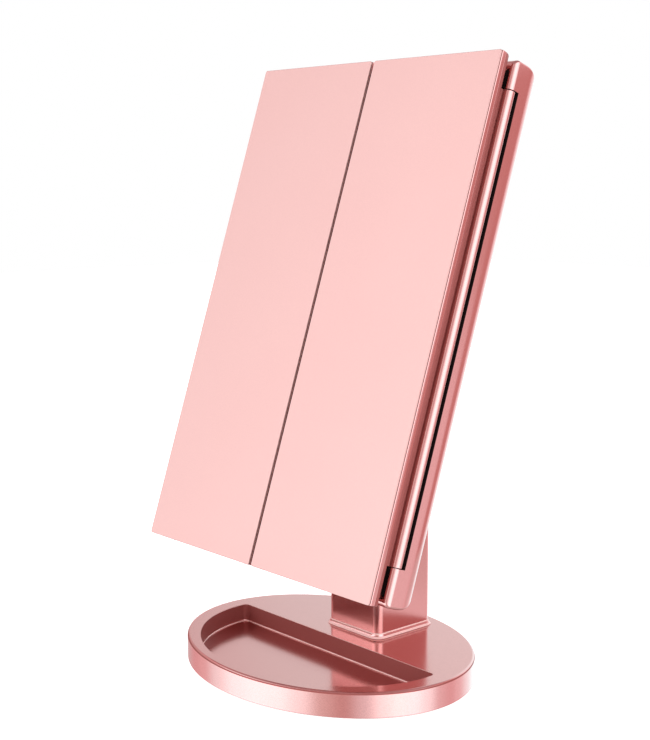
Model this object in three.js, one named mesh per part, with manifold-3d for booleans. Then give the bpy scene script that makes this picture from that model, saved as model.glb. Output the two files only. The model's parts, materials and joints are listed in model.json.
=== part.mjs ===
// Lighted three-fold makeup mirror on an oval tray stand, wings closed and head leaning back.
// Millimetres. +Z is up, +X is to the viewer's right, and the mirror faces -Y.
// The origin is the middle of the oval foot, on the table.
import * as THREE from "three";
import { mergeVertices } from "three/addons/utils/BufferGeometryUtils.js";
import Module from "manifold-3d";

const wasm = await Module();
wasm.setup();

// General fits and wall thicknesses
const GAP = 0.3; // clearance between parts that seat on or in each other
const WALL = 2.2; // moulded outer walls
const PAST = 1; // how far a cutting tool runs past the face it opens
const ROUND_SEGMENTS = 14; // straight pieces in an arc that is extruded
const GLASS = 1.8; // mirror glass and light strip
const LEAN = 18.4; // degrees that the head leans back from upright

// Oval stand
const FOOT_WIDTH = 179;
const FOOT_DEPTH = 143.4;
const FOOT_TOP = 14.3;
const FOOT_EDGE_ROUND = 1.6;
const OVAL_STEPS = 72;
const PAD_HEIGHT = 0.6; // how far the rubber pads hold the shell off the table
const PAD_THICKNESS = 1.3;
const PAD_RADIUS = 6;
const PAD_EDGE = 0.4;
const BOTTOM_COVER = 1.8;
const BALLAST = 4.5;
const BALLAST_MARGIN = 3;
const STAND_SCREW = 1.5; // shank radius
const STAND_SCREW_TURNS = [15, 60, 120, 165]; // degrees round the oval
const STAND_SCREW_INSET = 14; // from the stand's edge
const SCREW_CUP = 2.6; // height above the bottom cover
const SCREW_CUP_WALL = 1.3;
const PAD_TURNS = [38, 142, 220, 320]; // degrees round the oval
const PAD_INSET = 15;

// Tray sunk into the front of the stand
const TRAY_SIDE_RIM = 10.5; // between the stand's edge and the tray, at its ends
const TRAY_FRONT_RIM = 5.5; // and at its front
const TRAY_BACK = 4.4; // y of the tray's straight back wall
const TRAY_FLOOR = 3.9; // z
const TRAY_CORNER = 3;
const TRAY_WALL = 1.6;
const TRAY_MOUTH_ROUND = 0.6;
const TRAY_FLOOR_ROUND = 0.8;

// Square post
const POST_WIDTH = 41.4;
const POST_FRONT = 18.7; // y
const POST_DEPTH = 42.8;
const POST_CORNER = 4.5;
const POST_WALL = 2.5;
const POST_FLOOR = 3;
const POST_TOP_ROUND = 1.5;
const POST_SCREW = 1.8; // shank radius
const POST_SCREW_LENGTH = 9.5;
const POST_SCREW_APART = 20;
const POST_BOSS = 4; // radius
const POST_BOSS_HEIGHT = 11;
const REAR_COVER_WIDTH = 28;
const REAR_COVER_MARGIN = 9; // from the post's top and foot
const REAR_COVER_LEDGE = 2.5;

// Moulding round the post's foot: height above the stand, and how far it stands proud of the post
const FOOT_MOULDING = [
  [0, 1.7], [0.4, 1.7], [0.8, 1.1], [1.3, 0.65], [1.9, 0.3], [2.6, 0.1], [3, 0],
];

// Tilt joint at the top of the post
const PIVOT_Y = 29.834;
const PIVOT_Z = 184.008;
const PIVOT_ABOVE_POST = 13;
const AXLE_RADIUS = 2.5;
const AXLE_HEAD_RADIUS = 4.5;
const AXLE_HEAD = 2;
const TONGUE_RADIUS = 8.5;
const TONGUE_WIDTH = 20;
const TONGUE_CLEAR = 0.7; // between the tongue and the bracket's plate
const TONGUE_FOOT = 8; // spread of the tongue's foot behind the axle
const SEAT_THICKNESS = 3;
const SEAT_MARGIN = 3; // seat inside the post's front and back faces
const SEAT_SIDE = 5; // seat beside the tongue
const EAR_RADIUS = 8;
const EAR_THICKNESS = 5;
const WASHER = 1;
const WASHER_RADIUS = 7;
const BRACKET_PLATE = 2.5;
const BRACKET_WIDTH = 54;
const BRACKET_BELOW = 10.5; // plate edge below the axle
const BRACKET_ABOVE = 13;
const BRACKET_CORNER = 3;
const BOSS_DEPTH = 6;
const SMALL_SCREW = 1.5; // shank radius
const SMALL_SCREW_LENGTH = 7;
const SCREW_SINK = 1.2;

// Head, in its own frame: x across, y depth behind the wings' front, z up from the lower edge
const HEAD_WIDTH = 183;
const HEAD_HEIGHT = 279;
const HEAD_DEPTH = 32.2;
const PIVOT_BELOW_MIDDLE = 1.5; // axle below the middle of the head's height
const FRAME_CORNER = 1.5;
const BACK_ROUND_DEPTH = 8.7;
const BACK_ROUND_SIDE = 5;
const BACK_ROUND_END = 6.5;
const BACK_SEAT_MARGIN = 8.5; // frame rim round the back shell
const BACK_SCREW_IN = 17.5; // from the head's sides
const BACK_SCREW_UP = 15; // from the head's ends
const BACK_BOSS = 5.4; // radius

// Wings and their hinges
const WING_SEAM = 2;
const WING_COVER = 0.8;
const WING_BACK = 9.9; // depth of the wings' back face
const WING_EDGE_ROUND = 0.6;
const FLANK_RADIUS = 11; // bulge of the wing's hinge side
const WING_RIM = 2.2;
const WING_WEB = 1.8;
const WING_RIB = 1.2;
const RIB_COLUMNS = 4;
const RIB_ROWS = 11;
const WING_GLASS_MARGIN = 3.5;
const WING_GLASS_RECESS = 0.2;
const MAGNIFIER_BAR = 4; // between the two magnifying glasses
const HINGE_RADIUS = 3.4;
const HINGE_DEPTH = 15.5; // hinge axis behind the wings' front
const KNUCKLE_TOP = 15.6; // length of the frame's knuckle at the top
const KNUCKLE_FOOT = 19.7;
const NECK_INSET = 1.4; // web from the wing to its barrel, inside the wing's flank
const NECK = 1.8; // its thickness
const NECK_OUTER_TURN = THREE.MathUtils.degToRad(-105); // where the web's sides meet the barrel
const NECK_INNER_TURN = THREE.MathUtils.degToRad(-135);
const PIN_RADIUS = 1.2;
const PIN_BITE = 9; // pin length in each knuckle

// Centre mirror, light strip and lamps
const GLASS_RECESS = 0.4; // behind the frame's front rim
const POCKET_SIDE = 9.9; // frame rim beside the pocket
const POCKET_END = 7.6; // frame rim above and below the pocket
const POCKET_LEDGE = 3;
const LIGHT_BAND = 10.6; // width of the frosted strip
const CARRIER_DEPTH = 5.4;
const CARRIER_PLATE = 2;
const CARRIER_WALL = 1.5;
const LAMP_CHANNEL = 8.4;
const LAMP_CHANNEL_FLOOR = 1.3;
const LAMP_CHANNEL_END = 2; // room past each end of a board
const LAMP_BOARD = 0.9;
const LAMP_BOARD_WIDTH = 7.4;
const LAMP = [3.5, 0.8, 2.8]; // one light-emitting diode: along the board, deep, across the board
const SIDE_LAMPS = 8;
const TOP_LAMPS = 5;
const SIDE_BOARD_FOOT = 27; // from the head's lower edge
const SIDE_BOARD_TOP = 30; // from its upper edge
const TOP_BOARD_SIDE = 31.5; // from the head's sides
const TOUCH_RADIUS = 6;
const TOUCH_UP = 22;
const TOUCH_THICKNESS = 0.7;

// Battery and electronics housing on the back
const HOUSING_WIDTH = 72;
const HOUSING_ABOVE_PIVOT = 22;
const HOUSING_CORNER = 4;
const HOUSING_ROUND = 1.5;
const HOUSING_SKIN = 2.8;
const CELL_RADIUS = 7.25;
const CELL_LENGTH = 50.5;
const CELL_NUB_RADIUS = 2.7;
const CELL_NUB = 1;
const CELLS = 4;
const CELL_APART = 0.35;
const CELL_ROOM = 0.35; // in front of the cells and behind them
const CELL_TOP_ROOM = 0.75;
const CONTACT = 0.8;
const CONTACT_LEAF = 1.6;
const CONTACT_LEAF_RADIUS = 2.5;
const CONTACT_WIDTH = 9;
const BAY_ABOVE_BOARD = 3.5;
const BAY_BEHIND_CARRIER = 3.8; // room for the lamp wires in front of the battery bay
const BAY_WALL = 1.9;
const BAY_FLOOR = 1.1;
const DOOR_LAP = 1; // how far the door's skin laps the bay's walls
const DOOR_TONGUE = 1;
const DOOR_TONGUE_REACH = 1.4;
const DOOR_LIP = 0.7; // housing lip over the door's tongue
const BOARD = 1.6;
const BOARD_BEHIND_PLATE = 0.3; // board's front behind the back plate's inner face
const BOARD_SIDE = 2.8; // room between the board's ends and the housing's walls
const BOARD_HEIGHT = 12;
const BOARD_CHIPS = [-10, 6, 17]; // x of the parts on the board's front
const CHIP = [6, 1.5, 5];
const BOARD_PILLAR_INSET = 2.5; // from the board's left end
const BOARD_PILLAR_APART = 32.5;
const BOARD_PILLAR_RADIUS = 2;
const SWITCH_INSET = 11; // from the board's left end
const SWITCH_BODY_WIDTH = 9;
const SWITCH_BODY_HEIGHT = 5.6;
const SWITCH_STEM = 2.8;
const SWITCH_STEM_HEIGHT = 2;
const SWITCH_STEM_DIP = 1.1; // how far the stem dips into the switch
const SWITCH_KNOB_WIDTH = 5;
const SWITCH_KNOB_HEIGHT = 4;
const SWITCH_KNOB = 1.3;
const SWITCH_TRAVEL = 3.2;
const SOCKET_LENGTH = 6;
const SOCKET_DEPTH = 2.7;
const SOCKET_HEIGHT = 7.6;
const SOCKET_WALL = 0.5;
const SOCKET_TONGUE = 0.4;
const SOCKET_RECESS = 0.5; // behind the housing's side

// Places worked out from the sizes above
const footA = FOOT_WIDTH / 2;
const footB = FOOT_DEPTH / 2;
const footPlace = (turn, inset) => {
  const at = ovalPoint(footA, footB, THREE.MathUtils.degToRad(turn));
  return [at.x - inset * at.nx, at.y - inset * at.ny];
};
const standScrewPlaces = STAND_SCREW_TURNS.map((turn) => footPlace(turn, STAND_SCREW_INSET));
const padPlaces = PAD_TURNS.map((turn) => footPlace(turn, PAD_INSET));
const bottomCoverTop = PAD_HEIGHT + BOTTOM_COVER;
const screwCupTop = bottomCoverTop + SCREW_CUP;
const standScrewSeat = screwCupTop - BOTTOM_COVER;
const standScrewLength = FOOT_TOP - WALL - 2 * GAP - standScrewSeat;
const postBack = POST_FRONT + POST_DEPTH;
const postMiddle = POST_FRONT + POST_DEPTH / 2;
const postTop = PIVOT_Z - PIVOT_ABOVE_POST;
const rearCoverFoot = FOOT_TOP + REAR_COVER_MARGIN;
const rearCoverTop = postTop - REAR_COVER_MARGIN;
const seatTop = postTop + SEAT_THICKNESS;
const postScrewPlaces = [-1, 1].map((side) => [(side * POST_SCREW_APART) / 2, postMiddle]);
const seatScrewDepth = postBack - SEAT_MARGIN - SEAT_SIDE;
const seatScrewPlaces = [-1, 1].map((side) => [(side * TONGUE_WIDTH) / 2, seatScrewDepth]);
const headHalf = HEAD_WIDTH / 2;
const pivotUp = HEAD_HEIGHT / 2 - PIVOT_BELOW_MIDDLE;
const earInner = TONGUE_WIDTH / 2 + WASHER + 2 * GAP;
const earOuter = earInner + EAR_THICKNESS;
const axleEnd = earOuter + GAP + AXLE_HEAD;
const bracketFront = HEAD_DEPTH + GAP;
const bracketBack = bracketFront + BRACKET_PLATE;
const pivotDepth = bracketBack + TONGUE_CLEAR + TONGUE_RADIUS;
const bracketScrewPlaces = [-1, 1].map((side) => [(side * (BRACKET_WIDTH / 2 + earOuter)) / 2, pivotUp]);
const backScrewPlaces = [-1, 1].flatMap((side) =>
  [BACK_SCREW_UP, HEAD_HEIGHT - BACK_SCREW_UP].map((up) => [side * (headHalf - BACK_SCREW_IN), up]),
);
const frameFront = HINGE_DEPTH - HINGE_RADIUS;
const hingeX = headHalf - HINGE_RADIUS;
const slotX = hingeX - HINGE_RADIUS - 2 * GAP;
const slotTop = HEAD_HEIGHT - KNUCKLE_TOP;
const slotBack = HINGE_DEPTH + HINGE_RADIUS + GAP;
const wingInner = WING_SEAM / 2;
const wingFront = WING_COVER + GAP;
const wingGlassBack = WING_BACK - WING_GLASS_RECESS;
const webBack = wingGlassBack - GLASS - GAP;
const webFront = webBack - WING_WEB;
const flankStart = wingFront + WING_EDGE_ROUND;
const flankTurn = (depth) => Math.asin((depth - flankStart) / FLANK_RADIUS);
const flankX = (depth) => headHalf - FLANK_RADIUS * (1 - Math.cos(flankTurn(depth)));
const flankEnd = flankX(WING_BACK);
const neckOuter = flankEnd - NECK_INSET;
const glassFront = frameFront + GLASS_RECESS;
const glassBack = glassFront + GLASS;
const pocketX = headHalf - POCKET_SIDE;
const pocketTop = HEAD_HEIGHT - POCKET_END;
const windowX = pocketX - POCKET_LEDGE;
const bandInner = pocketX - GAP - LIGHT_BAND;
const bandFoot = pocketTop - GAP - LIGHT_BAND;
const carrierFront = glassBack + GAP;
const carrierBack = carrierFront + CARRIER_DEPTH;
const pocketBack = carrierBack + GAP;
const carrierPlateBack = carrierFront + CARRIER_PLATE;
const channelFloor = carrierBack - LAMP_CHANNEL_FLOOR;
const channelX = bandInner + LIGHT_BAND / 2;
const channelZ = bandFoot + LIGHT_BAND / 2;
const backScrewSeat = HEAD_DEPTH - SCREW_SINK;
const backScrewLength = backScrewSeat - pocketBack - GAP;
const sideBoardTop = HEAD_HEIGHT - SIDE_BOARD_TOP;
const topBoardLength = HEAD_WIDTH - 2 * TOP_BOARD_SIDE;
const backSeatFront = HEAD_DEPTH - WALL - GAP;
const backPlateFront = HEAD_DEPTH - WALL;
const boardFront = backPlateFront + BOARD_BEHIND_PLATE;
const boardBack = boardFront + BOARD;
const housingFoot = pivotUp + HOUSING_ABOVE_PIVOT;
const boardFoot = housingFoot + WALL + GAP;
const boardMiddle = boardFoot + BOARD_HEIGHT / 2;
const bayHalf = CELL_LENGTH / 2 + GAP + CONTACT_LEAF + CONTACT + GAP;
const bayFoot = boardFoot + BOARD_HEIGHT + BAY_ABOVE_BOARD;
const bayFront = carrierPlateBack + BAY_BEHIND_CARRIER;
const cellUp = (i) => bayFoot + GAP + CELL_RADIUS + i * (2 * CELL_RADIUS + CELL_APART);
const cellDepth = bayFront + BAY_FLOOR + CELL_ROOM + CELL_RADIUS;
const bayTop = cellUp(CELLS - 1) + CELL_RADIUS + CELL_TOP_ROOM;
const housingTop = bayTop + BAY_WALL;
const doorFront = cellDepth + CELL_RADIUS + CELL_ROOM;
const doorHalf = bayHalf + DOOR_LAP;
const doorFoot = bayFoot - DOOR_LAP;
const housingBack = doorFront + DOOR_TONGUE + GAP + DOOR_LIP;
const housingHollow = housingBack - HOUSING_SKIN;
const boardWidth = HOUSING_WIDTH - 2 * (WALL + BOARD_SIDE);
const switchX = SWITCH_INSET - boardWidth / 2;
const pillarPlaces = [0, BOARD_PILLAR_APART].map((x) => x + BOARD_PILLAR_INSET - boardWidth / 2);

// Finishes
const finish = (color, roughness, metalness) =>
  new THREE.MeshStandardMaterial({ color, roughness, metalness });
const rosePaint = finish("#d99a93", 0.32, 0.75);
const roseSatin = finish("#f2bdb6", 0.45, 0.55);
const mirrorGlass = finish("#dfe6e8", 0.03, 1);
const frosted = finish("#f4f2ee", 0.5, 0);
const whitePlastic = finish("#e9e4e0", 0.5, 0);
const steel = finish("#a9a9ac", 0.3, 1);
const rubber = finish("#2b2829", 0.8, 0);
const boardGreen = finish("#2e5a41", 0.5, 0.1);
const boardWhite = finish("#e8e8e2", 0.5, 0);
const nickel = finish("#c6c2ba", 0.35, 1);
const copper = finish("#b87a4b", 0.4, 1);
const cellWrap = finish("#3b3d42", 0.4, 0.2);
const blackPlastic = finish("#222224", 0.5, 0);

// A closed three.js geometry as a solid that can be joined and cut
function solid(geometry) {
  const bare = geometry.clone();
  bare.deleteAttribute("normal");
  bare.deleteAttribute("uv");
  const merged = mergeVertices(bare, 1e-4);
  const vertProperties = new Float32Array(merged.attributes.position.array);
  const triVerts = new Uint32Array(merged.index.array);
  return new wasm.Manifold(new wasm.Mesh({ numProp: 3, vertProperties, triVerts }));
}

function join(first, ...others) {
  return others.reduce((whole, next) => whole.add(next), first);
}

function cut(body, ...tools) {
  return tools.reduce((whole, next) => whole.subtract(next), body);
}

function piece(name, body, material) {
  const made = body.getMesh();
  const geometry = new THREE.BufferGeometry();
  geometry.setAttribute("position", new THREE.BufferAttribute(made.vertProperties, 3));
  geometry.setIndex(new THREE.BufferAttribute(made.triVerts, 1));
  geometry.computeVertexNormals();
  const mesh = new THREE.Mesh(geometry, material);
  mesh.name = name;
  return mesh;
}

// Simple solids, placed by their limits
function block([x0, x1], [y0, y1], [z0, z1]) {
  const geometry = new THREE.BoxGeometry(x1 - x0, y1 - y0, z1 - z0);
  geometry.translate((x0 + x1) / 2, (y0 + y1) / 2, (z0 + z1) / 2);
  return solid(geometry);
}

const centred = (middle, width) => [middle - width / 2, middle + width / 2];

// Limits along x from `inner` to `outer` on one side of the middle
const onSide = (side, inner, outer) => (side > 0 ? [inner, outer] : [-outer, -inner]);

function rodZ([z0, z1], x, y, radius, steps = 16) {
  const geometry = new THREE.CylinderGeometry(radius, radius, z1 - z0, steps);
  geometry.rotateX(Math.PI / 2).translate(x, y, (z0 + z1) / 2);
  return solid(geometry);
}

function rodY([y0, y1], x, z, radius, steps = 16) {
  const geometry = new THREE.CylinderGeometry(radius, radius, y1 - y0, steps);
  geometry.translate(x, (y0 + y1) / 2, z);
  return solid(geometry);
}

function rodX([x0, x1], y, z, radius, steps = 24) {
  const geometry = new THREE.CylinderGeometry(radius, radius, x1 - x0, steps);
  geometry.rotateZ(Math.PI / 2).translate((x0 + x1) / 2, y, z);
  return solid(geometry);
}

// Outlines: core points with the direction in which each moves as the outline grows
function roundedCore([x0, x1], [y0, y1], steps = 4) {
  const corners = [[x1, y1], [x0, y1], [x0, y0], [x1, y0]];
  return corners.flatMap(([x, y], corner) =>
    Array.from({ length: steps + 1 }, (_, i) => {
      const angle = (Math.PI / 2) * (corner + i / steps);
      return { x, y, nx: Math.cos(angle), ny: Math.sin(angle) };
    }),
  );
}

// A rectangle that keeps its corner radius at every size
function mitredCore([x0, x1], [y0, y1], corner, steps = 3) {
  return roundedCore([x0 + corner, x1 - corner], [y0 + corner, y1 - corner], steps).map((p) => ({
    x: p.x + corner * p.nx,
    y: p.y + corner * p.ny,
    nx: p.x > (x0 + x1) / 2 ? 1 : -1,
    ny: p.y > (y0 + y1) / 2 ? 1 : -1,
  }));
}

function ovalPoint(a, b, angle) {
  const nx = Math.cos(angle) / a;
  const ny = Math.sin(angle) / b;
  const length = Math.hypot(nx, ny);
  return { x: a * Math.cos(angle), y: b * Math.sin(angle), nx: nx / length, ny: ny / length };
}

function ovalCore(a, b) {
  return Array.from({ length: OVAL_STEPS }, (_, i) => ovalPoint(a, b, (2 * Math.PI * i) / OVAL_STEPS));
}

// The front part of an oval, closed by a straight edge along y = back
function halfOvalCore(a, b, back, cornerSteps = 4) {
  const steps = OVAL_STEPS / 2;
  const past = Math.asin(back / b);
  const arc = Array.from({ length: steps + 1 }, (_, i) =>
    ovalPoint(a, b, Math.PI - past + ((Math.PI + 2 * past) * i) / steps),
  );
  const fan = (at, from, to) =>
    Array.from({ length: cornerSteps }, (_, i) => {
      const angle = from + ((to - from) * (i + 1)) / cornerSteps;
      return { x: at.x, y: at.y, nx: Math.cos(angle), ny: Math.sin(angle) };
    });
  const first = arc[0];
  const last = arc[steps];
  const rightTurn = fan(last, Math.atan2(last.ny, last.nx), Math.PI / 2);
  const leftTurn = fan(first, Math.PI - Math.atan2(first.ny, -first.nx), Math.PI / 2).reverse();
  return [...arc, ...rightTurn, ...leftTurn];
}

// A closed geometry: at each [level, growth, growth along y] of the profile its section is the grown core
function sweep(core, profile) {
  const count = core.length;
  const rings = profile.map(([level, growX, growY = growX]) =>
    core.map((p) => [p.x + growX * p.nx, p.y + growY * p.ny, level]),
  );
  const middle = (ring) => [0, 1, 2].map((axis) => ring.reduce((sum, p) => sum + p[axis], 0) / count);
  const points = [...rings.flat(), middle(rings[0]), middle(rings[rings.length - 1])];
  const below = points.length - 2;
  const above = points.length - 1;
  const top = (rings.length - 1) * count;
  const faces = [];
  for (let i = 0; i < count; i++) {
    const next = (i + 1) % count;
    faces.push([below, next, i], [above, top + i, top + next]);
    for (let low = 0; low < top; low += count) {
      const high = low + count;
      faces.push([low + i, low + next, high + next], [low + i, high + next, high + i]);
    }
  }
  const geometry = new THREE.BufferGeometry();
  geometry.setAttribute("position", new THREE.Float32BufferAttribute(points.flat(), 3));
  geometry.setIndex(faces.flat());
  return geometry;
}

const upright = (core, profile) => solid(sweep(core, profile));

// The same with the outline in the head's x-z plane and the profile's levels running back along y
function backward(core, profile) {
  const levels = profile.map(([depth, ...growth]) => [-depth, ...growth]).reverse();
  return solid(sweep(core, levels).rotateX(Math.PI / 2));
}

// A quarter round at the start of a profile, from the face at `level` out to the full growth
function roundStart(level, growth, radius, steps = 4) {
  return Array.from({ length: steps + 1 }, (_, i) => {
    const angle = (Math.PI / 2) * (i / steps);
    return [level + radius * (1 - Math.cos(angle)), growth - radius * (1 - Math.sin(angle))];
  });
}

// A quarter round at the end of a profile, from the full growth in to the face at `level`
function roundEnd(level, growth, radius, steps = 4) {
  return roundStart(0, growth, radius, steps)
    .map(([rise, out]) => [level - rise, out])
    .reverse();
}

// A side view drawn in y and z, extruded across x
function acrossX(shape, [x0, x1]) {
  const geometry = new THREE.ExtrudeGeometry(shape, {
    depth: x1 - x0,
    bevelEnabled: false,
    curveSegments: ROUND_SEGMENTS,
  });
  const axes = new THREE.Matrix4().makeBasis(
    new THREE.Vector3(0, 1, 0),
    new THREE.Vector3(0, 0, 1),
    new THREE.Vector3(1, 0, 0),
  );
  return solid(geometry.applyMatrix4(axes).translate(x0, 0, 0));
}

// A plan view given by its [x, y] points, extruded up z
function upZ(points, [z0, z1]) {
  const shape = new THREE.Shape(points.map(([x, y]) => new THREE.Vector2(x, y)));
  const geometry = new THREE.ExtrudeGeometry(shape, { depth: z1 - z0, bevelEnabled: false });
  return solid(geometry.translate(0, 0, z0));
}

function arc(x, y, radius, from, to, steps) {
  return Array.from({ length: steps + 1 }, (_, i) => {
    const angle = from + ((to - from) * i) / steps;
    return [x + radius * Math.cos(angle), y + radius * Math.sin(angle)];
  });
}

function ringX([x0, x1], y, z, radius, hole, steps = 24) {
  return cut(rodX([x0, x1], y, z, radius, steps), rodX([x0 - PAST, x1 + PAST], y, z, hole));
}

// Pan-head screws point along +Z from the underside of the head at 0, with a cross recess on top
const headRadius = (shank) => shank * 2;
const headHeight = (shank) => shank * 1.2;

function screw(name, shank, length, position, rotationX = 0) {
  const radius = headRadius(shank);
  const height = headHeight(shank);
  const profile = [
    [0, -length],
    [shank * 0.5, -length],
    [shank, -length + shank],
    [shank, 0],
    [radius, 0],
    [radius, height * 0.5],
    [radius * 0.75, height],
    [0, height],
  ].map(([x, y]) => new THREE.Vector2(x, y));
  const turned = solid(new THREE.LatheGeometry(profile, 16).rotateX(Math.PI / 2));
  const long = centred(0, radius * 1.1);
  const wide = centred(0, shank * 0.45);
  const deep = [height - shank * 0.7, height + PAST];
  const mesh = piece(name, cut(turned, block(long, wide, deep), block(wide, long, deep)), steel);
  mesh.position.set(...position);
  mesh.rotation.x = rotationX;
  return mesh;
}

// Stand
const trayCore = halfOvalCore(
  footA - TRAY_SIDE_RIM - TRAY_CORNER,
  footB - TRAY_FRONT_RIM - TRAY_CORNER,
  TRAY_BACK - TRAY_CORNER,
);

function makeStandShell() {
  const oval = ovalCore(footA, footB);
  const outer = upright(oval, [[PAD_HEIGHT, 0], ...roundEnd(FOOT_TOP, 0, FOOT_EDGE_ROUND)]);
  const hollow = upright(oval, [[PAD_HEIGHT - PAST, -WALL], [FOOT_TOP - WALL, -WALL]]);
  const trayBox = upright(trayCore, [
    [bottomCoverTop + GAP, TRAY_CORNER + TRAY_WALL],
    [FOOT_TOP - WALL / 2, TRAY_CORNER + TRAY_WALL],
  ]);
  const mouthRound = roundStart(0, 0, TRAY_MOUTH_ROUND, 3);
  const mouth = mouthRound.map(([out, drop]) => [FOOT_TOP + drop, TRAY_CORNER + out]);
  const sunk = upright(trayCore, [
    ...roundStart(TRAY_FLOOR, TRAY_CORNER, TRAY_FLOOR_ROUND, 3),
    ...mouth,
    [FOOT_TOP + PAST, TRAY_CORNER + TRAY_MOUTH_ROUND],
  ]);
  const bossHeight = [screwCupTop + GAP, FOOT_TOP - WALL / 2];
  const bosses = standScrewPlaces.map(([x, y]) => rodZ(bossHeight, x, y, headRadius(STAND_SCREW) + GAP));
  const bossHoles = standScrewPlaces.map(([x, y]) => rodZ([0, FOOT_TOP - WALL], x, y, STAND_SCREW + GAP));
  const postHoles = postScrewPlaces.map(([x, y]) => rodZ([0, FOOT_TOP + PAST], x, y, POST_SCREW + GAP));
  return cut(join(cut(outer, hollow), trayBox, ...bosses), sunk, ...bossHoles, ...postHoles);
}

function makeBottomCover() {
  const edge = -WALL - GAP;
  const plate = upright(ovalCore(footA, footB), [[PAD_HEIGHT, edge], [bottomCoverTop, edge]]);
  const wellRadius = headRadius(STAND_SCREW) + GAP;
  const cups = standScrewPlaces.map(([x, y]) =>
    rodZ([PAD_HEIGHT, screwCupTop], x, y, wellRadius + SCREW_CUP_WALL),
  );
  const wells = standScrewPlaces.map(([x, y]) => rodZ([0, standScrewSeat], x, y, wellRadius));
  const holes = standScrewPlaces.map(([x, y]) => rodZ([0, FOOT_TOP], x, y, STAND_SCREW + GAP));
  const padSeats = padPlaces.map(([x, y]) => rodZ([0, PAD_THICKNESS + GAP], x, y, PAD_RADIUS + GAP, 24));
  return cut(join(plate, ...cups), ...wells, ...holes, ...padSeats);
}

function makeBallast() {
  const levels = [bottomCoverTop + GAP, bottomCoverTop + GAP + BALLAST];
  const growth = -WALL - BALLAST_MARGIN;
  const plate = upright(ovalCore(footA, footB), levels.map((level) => [level, growth]));
  const front = block(centred(0, FOOT_WIDTH), [-FOOT_DEPTH, TRAY_BACK + TRAY_WALL + GAP], [0, FOOT_TOP]);
  const cupRadius = headRadius(STAND_SCREW) + SCREW_CUP_WALL + 2 * GAP;
  const cupHoles = standScrewPlaces.map(([x, y]) => rodZ([0, FOOT_TOP], x, y, cupRadius));
  const postHoles = postScrewPlaces.map(([x, y]) => rodZ([0, FOOT_TOP], x, y, headRadius(POST_SCREW) + GAP));
  return cut(plate, front, ...cupHoles, ...postHoles);
}

function makePad([x, y]) {
  const profile = [
    [0, 0],
    [PAD_RADIUS - PAD_EDGE, 0],
    [PAD_RADIUS, PAD_EDGE],
    [PAD_RADIUS, PAD_THICKNESS],
    [0, PAD_THICKNESS],
  ].map(([r, z]) => new THREE.Vector2(r, z));
  return solid(new THREE.LatheGeometry(profile, 24).rotateX(Math.PI / 2).translate(x, y, 0));
}

const postCore = roundedCore(
  centred(0, POST_WIDTH - 2 * POST_CORNER),
  [POST_FRONT + POST_CORNER, postBack - POST_CORNER],
  6,
);

function makePostShell() {
  const outer = upright(postCore, [
    ...FOOT_MOULDING.map(([rise, proud]) => [FOOT_TOP + rise, POST_CORNER + proud]),
    ...roundEnd(postTop, POST_CORNER, POST_TOP_ROUND, 3),
  ]);
  const hollow = upright(postCore, [
    [FOOT_TOP + POST_FLOOR, POST_CORNER - POST_WALL],
    [postTop - POST_FLOOR, POST_CORNER - POST_WALL],
  ]);
  const seatFront = postBack - POST_WALL;
  const ledge = block(
    centred(0, REAR_COVER_WIDTH + 2 * REAR_COVER_LEDGE),
    [seatFront - POST_WALL, seatFront],
    [rearCoverFoot - REAR_COVER_LEDGE, rearCoverTop + REAR_COVER_LEDGE],
  );
  const opening = block(
    centred(0, REAR_COVER_WIDTH - 2 * REAR_COVER_LEDGE),
    [seatFront - POST_WALL - PAST, postBack + PAST],
    [rearCoverFoot + REAR_COVER_LEDGE, rearCoverTop - REAR_COVER_LEDGE],
  );
  const seatDepth = [seatFront, postBack + PAST];
  const seat = block(centred(0, REAR_COVER_WIDTH), seatDepth, [rearCoverFoot, rearCoverTop]);
  const bossLevels = [FOOT_TOP + POST_FLOOR / 2, FOOT_TOP + POST_BOSS_HEIGHT];
  const bosses = postScrewPlaces.map(([x, y]) => rodZ(bossLevels, x, y, POST_BOSS));
  const pilotLevels = [FOOT_TOP - PAST, FOOT_TOP + POST_BOSS_HEIGHT - GAP];
  const pilots = postScrewPlaces.map(([x, y]) => rodZ(pilotLevels, x, y, POST_SCREW + GAP));
  const seatPilots = seatScrewPlaces.map(([x, y]) =>
    rodZ([postTop - POST_FLOOR - PAST, postTop + PAST], x, y, SMALL_SCREW + GAP),
  );
  return cut(join(cut(outer, hollow), ledge, ...bosses), opening, seat, ...pilots, ...seatPilots);
}

function makeRearCover() {
  return block(
    centred(0, REAR_COVER_WIDTH - 2 * GAP),
    [postBack - POST_WALL + GAP, postBack],
    [rearCoverFoot + GAP, rearCoverTop - GAP],
  );
}

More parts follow.
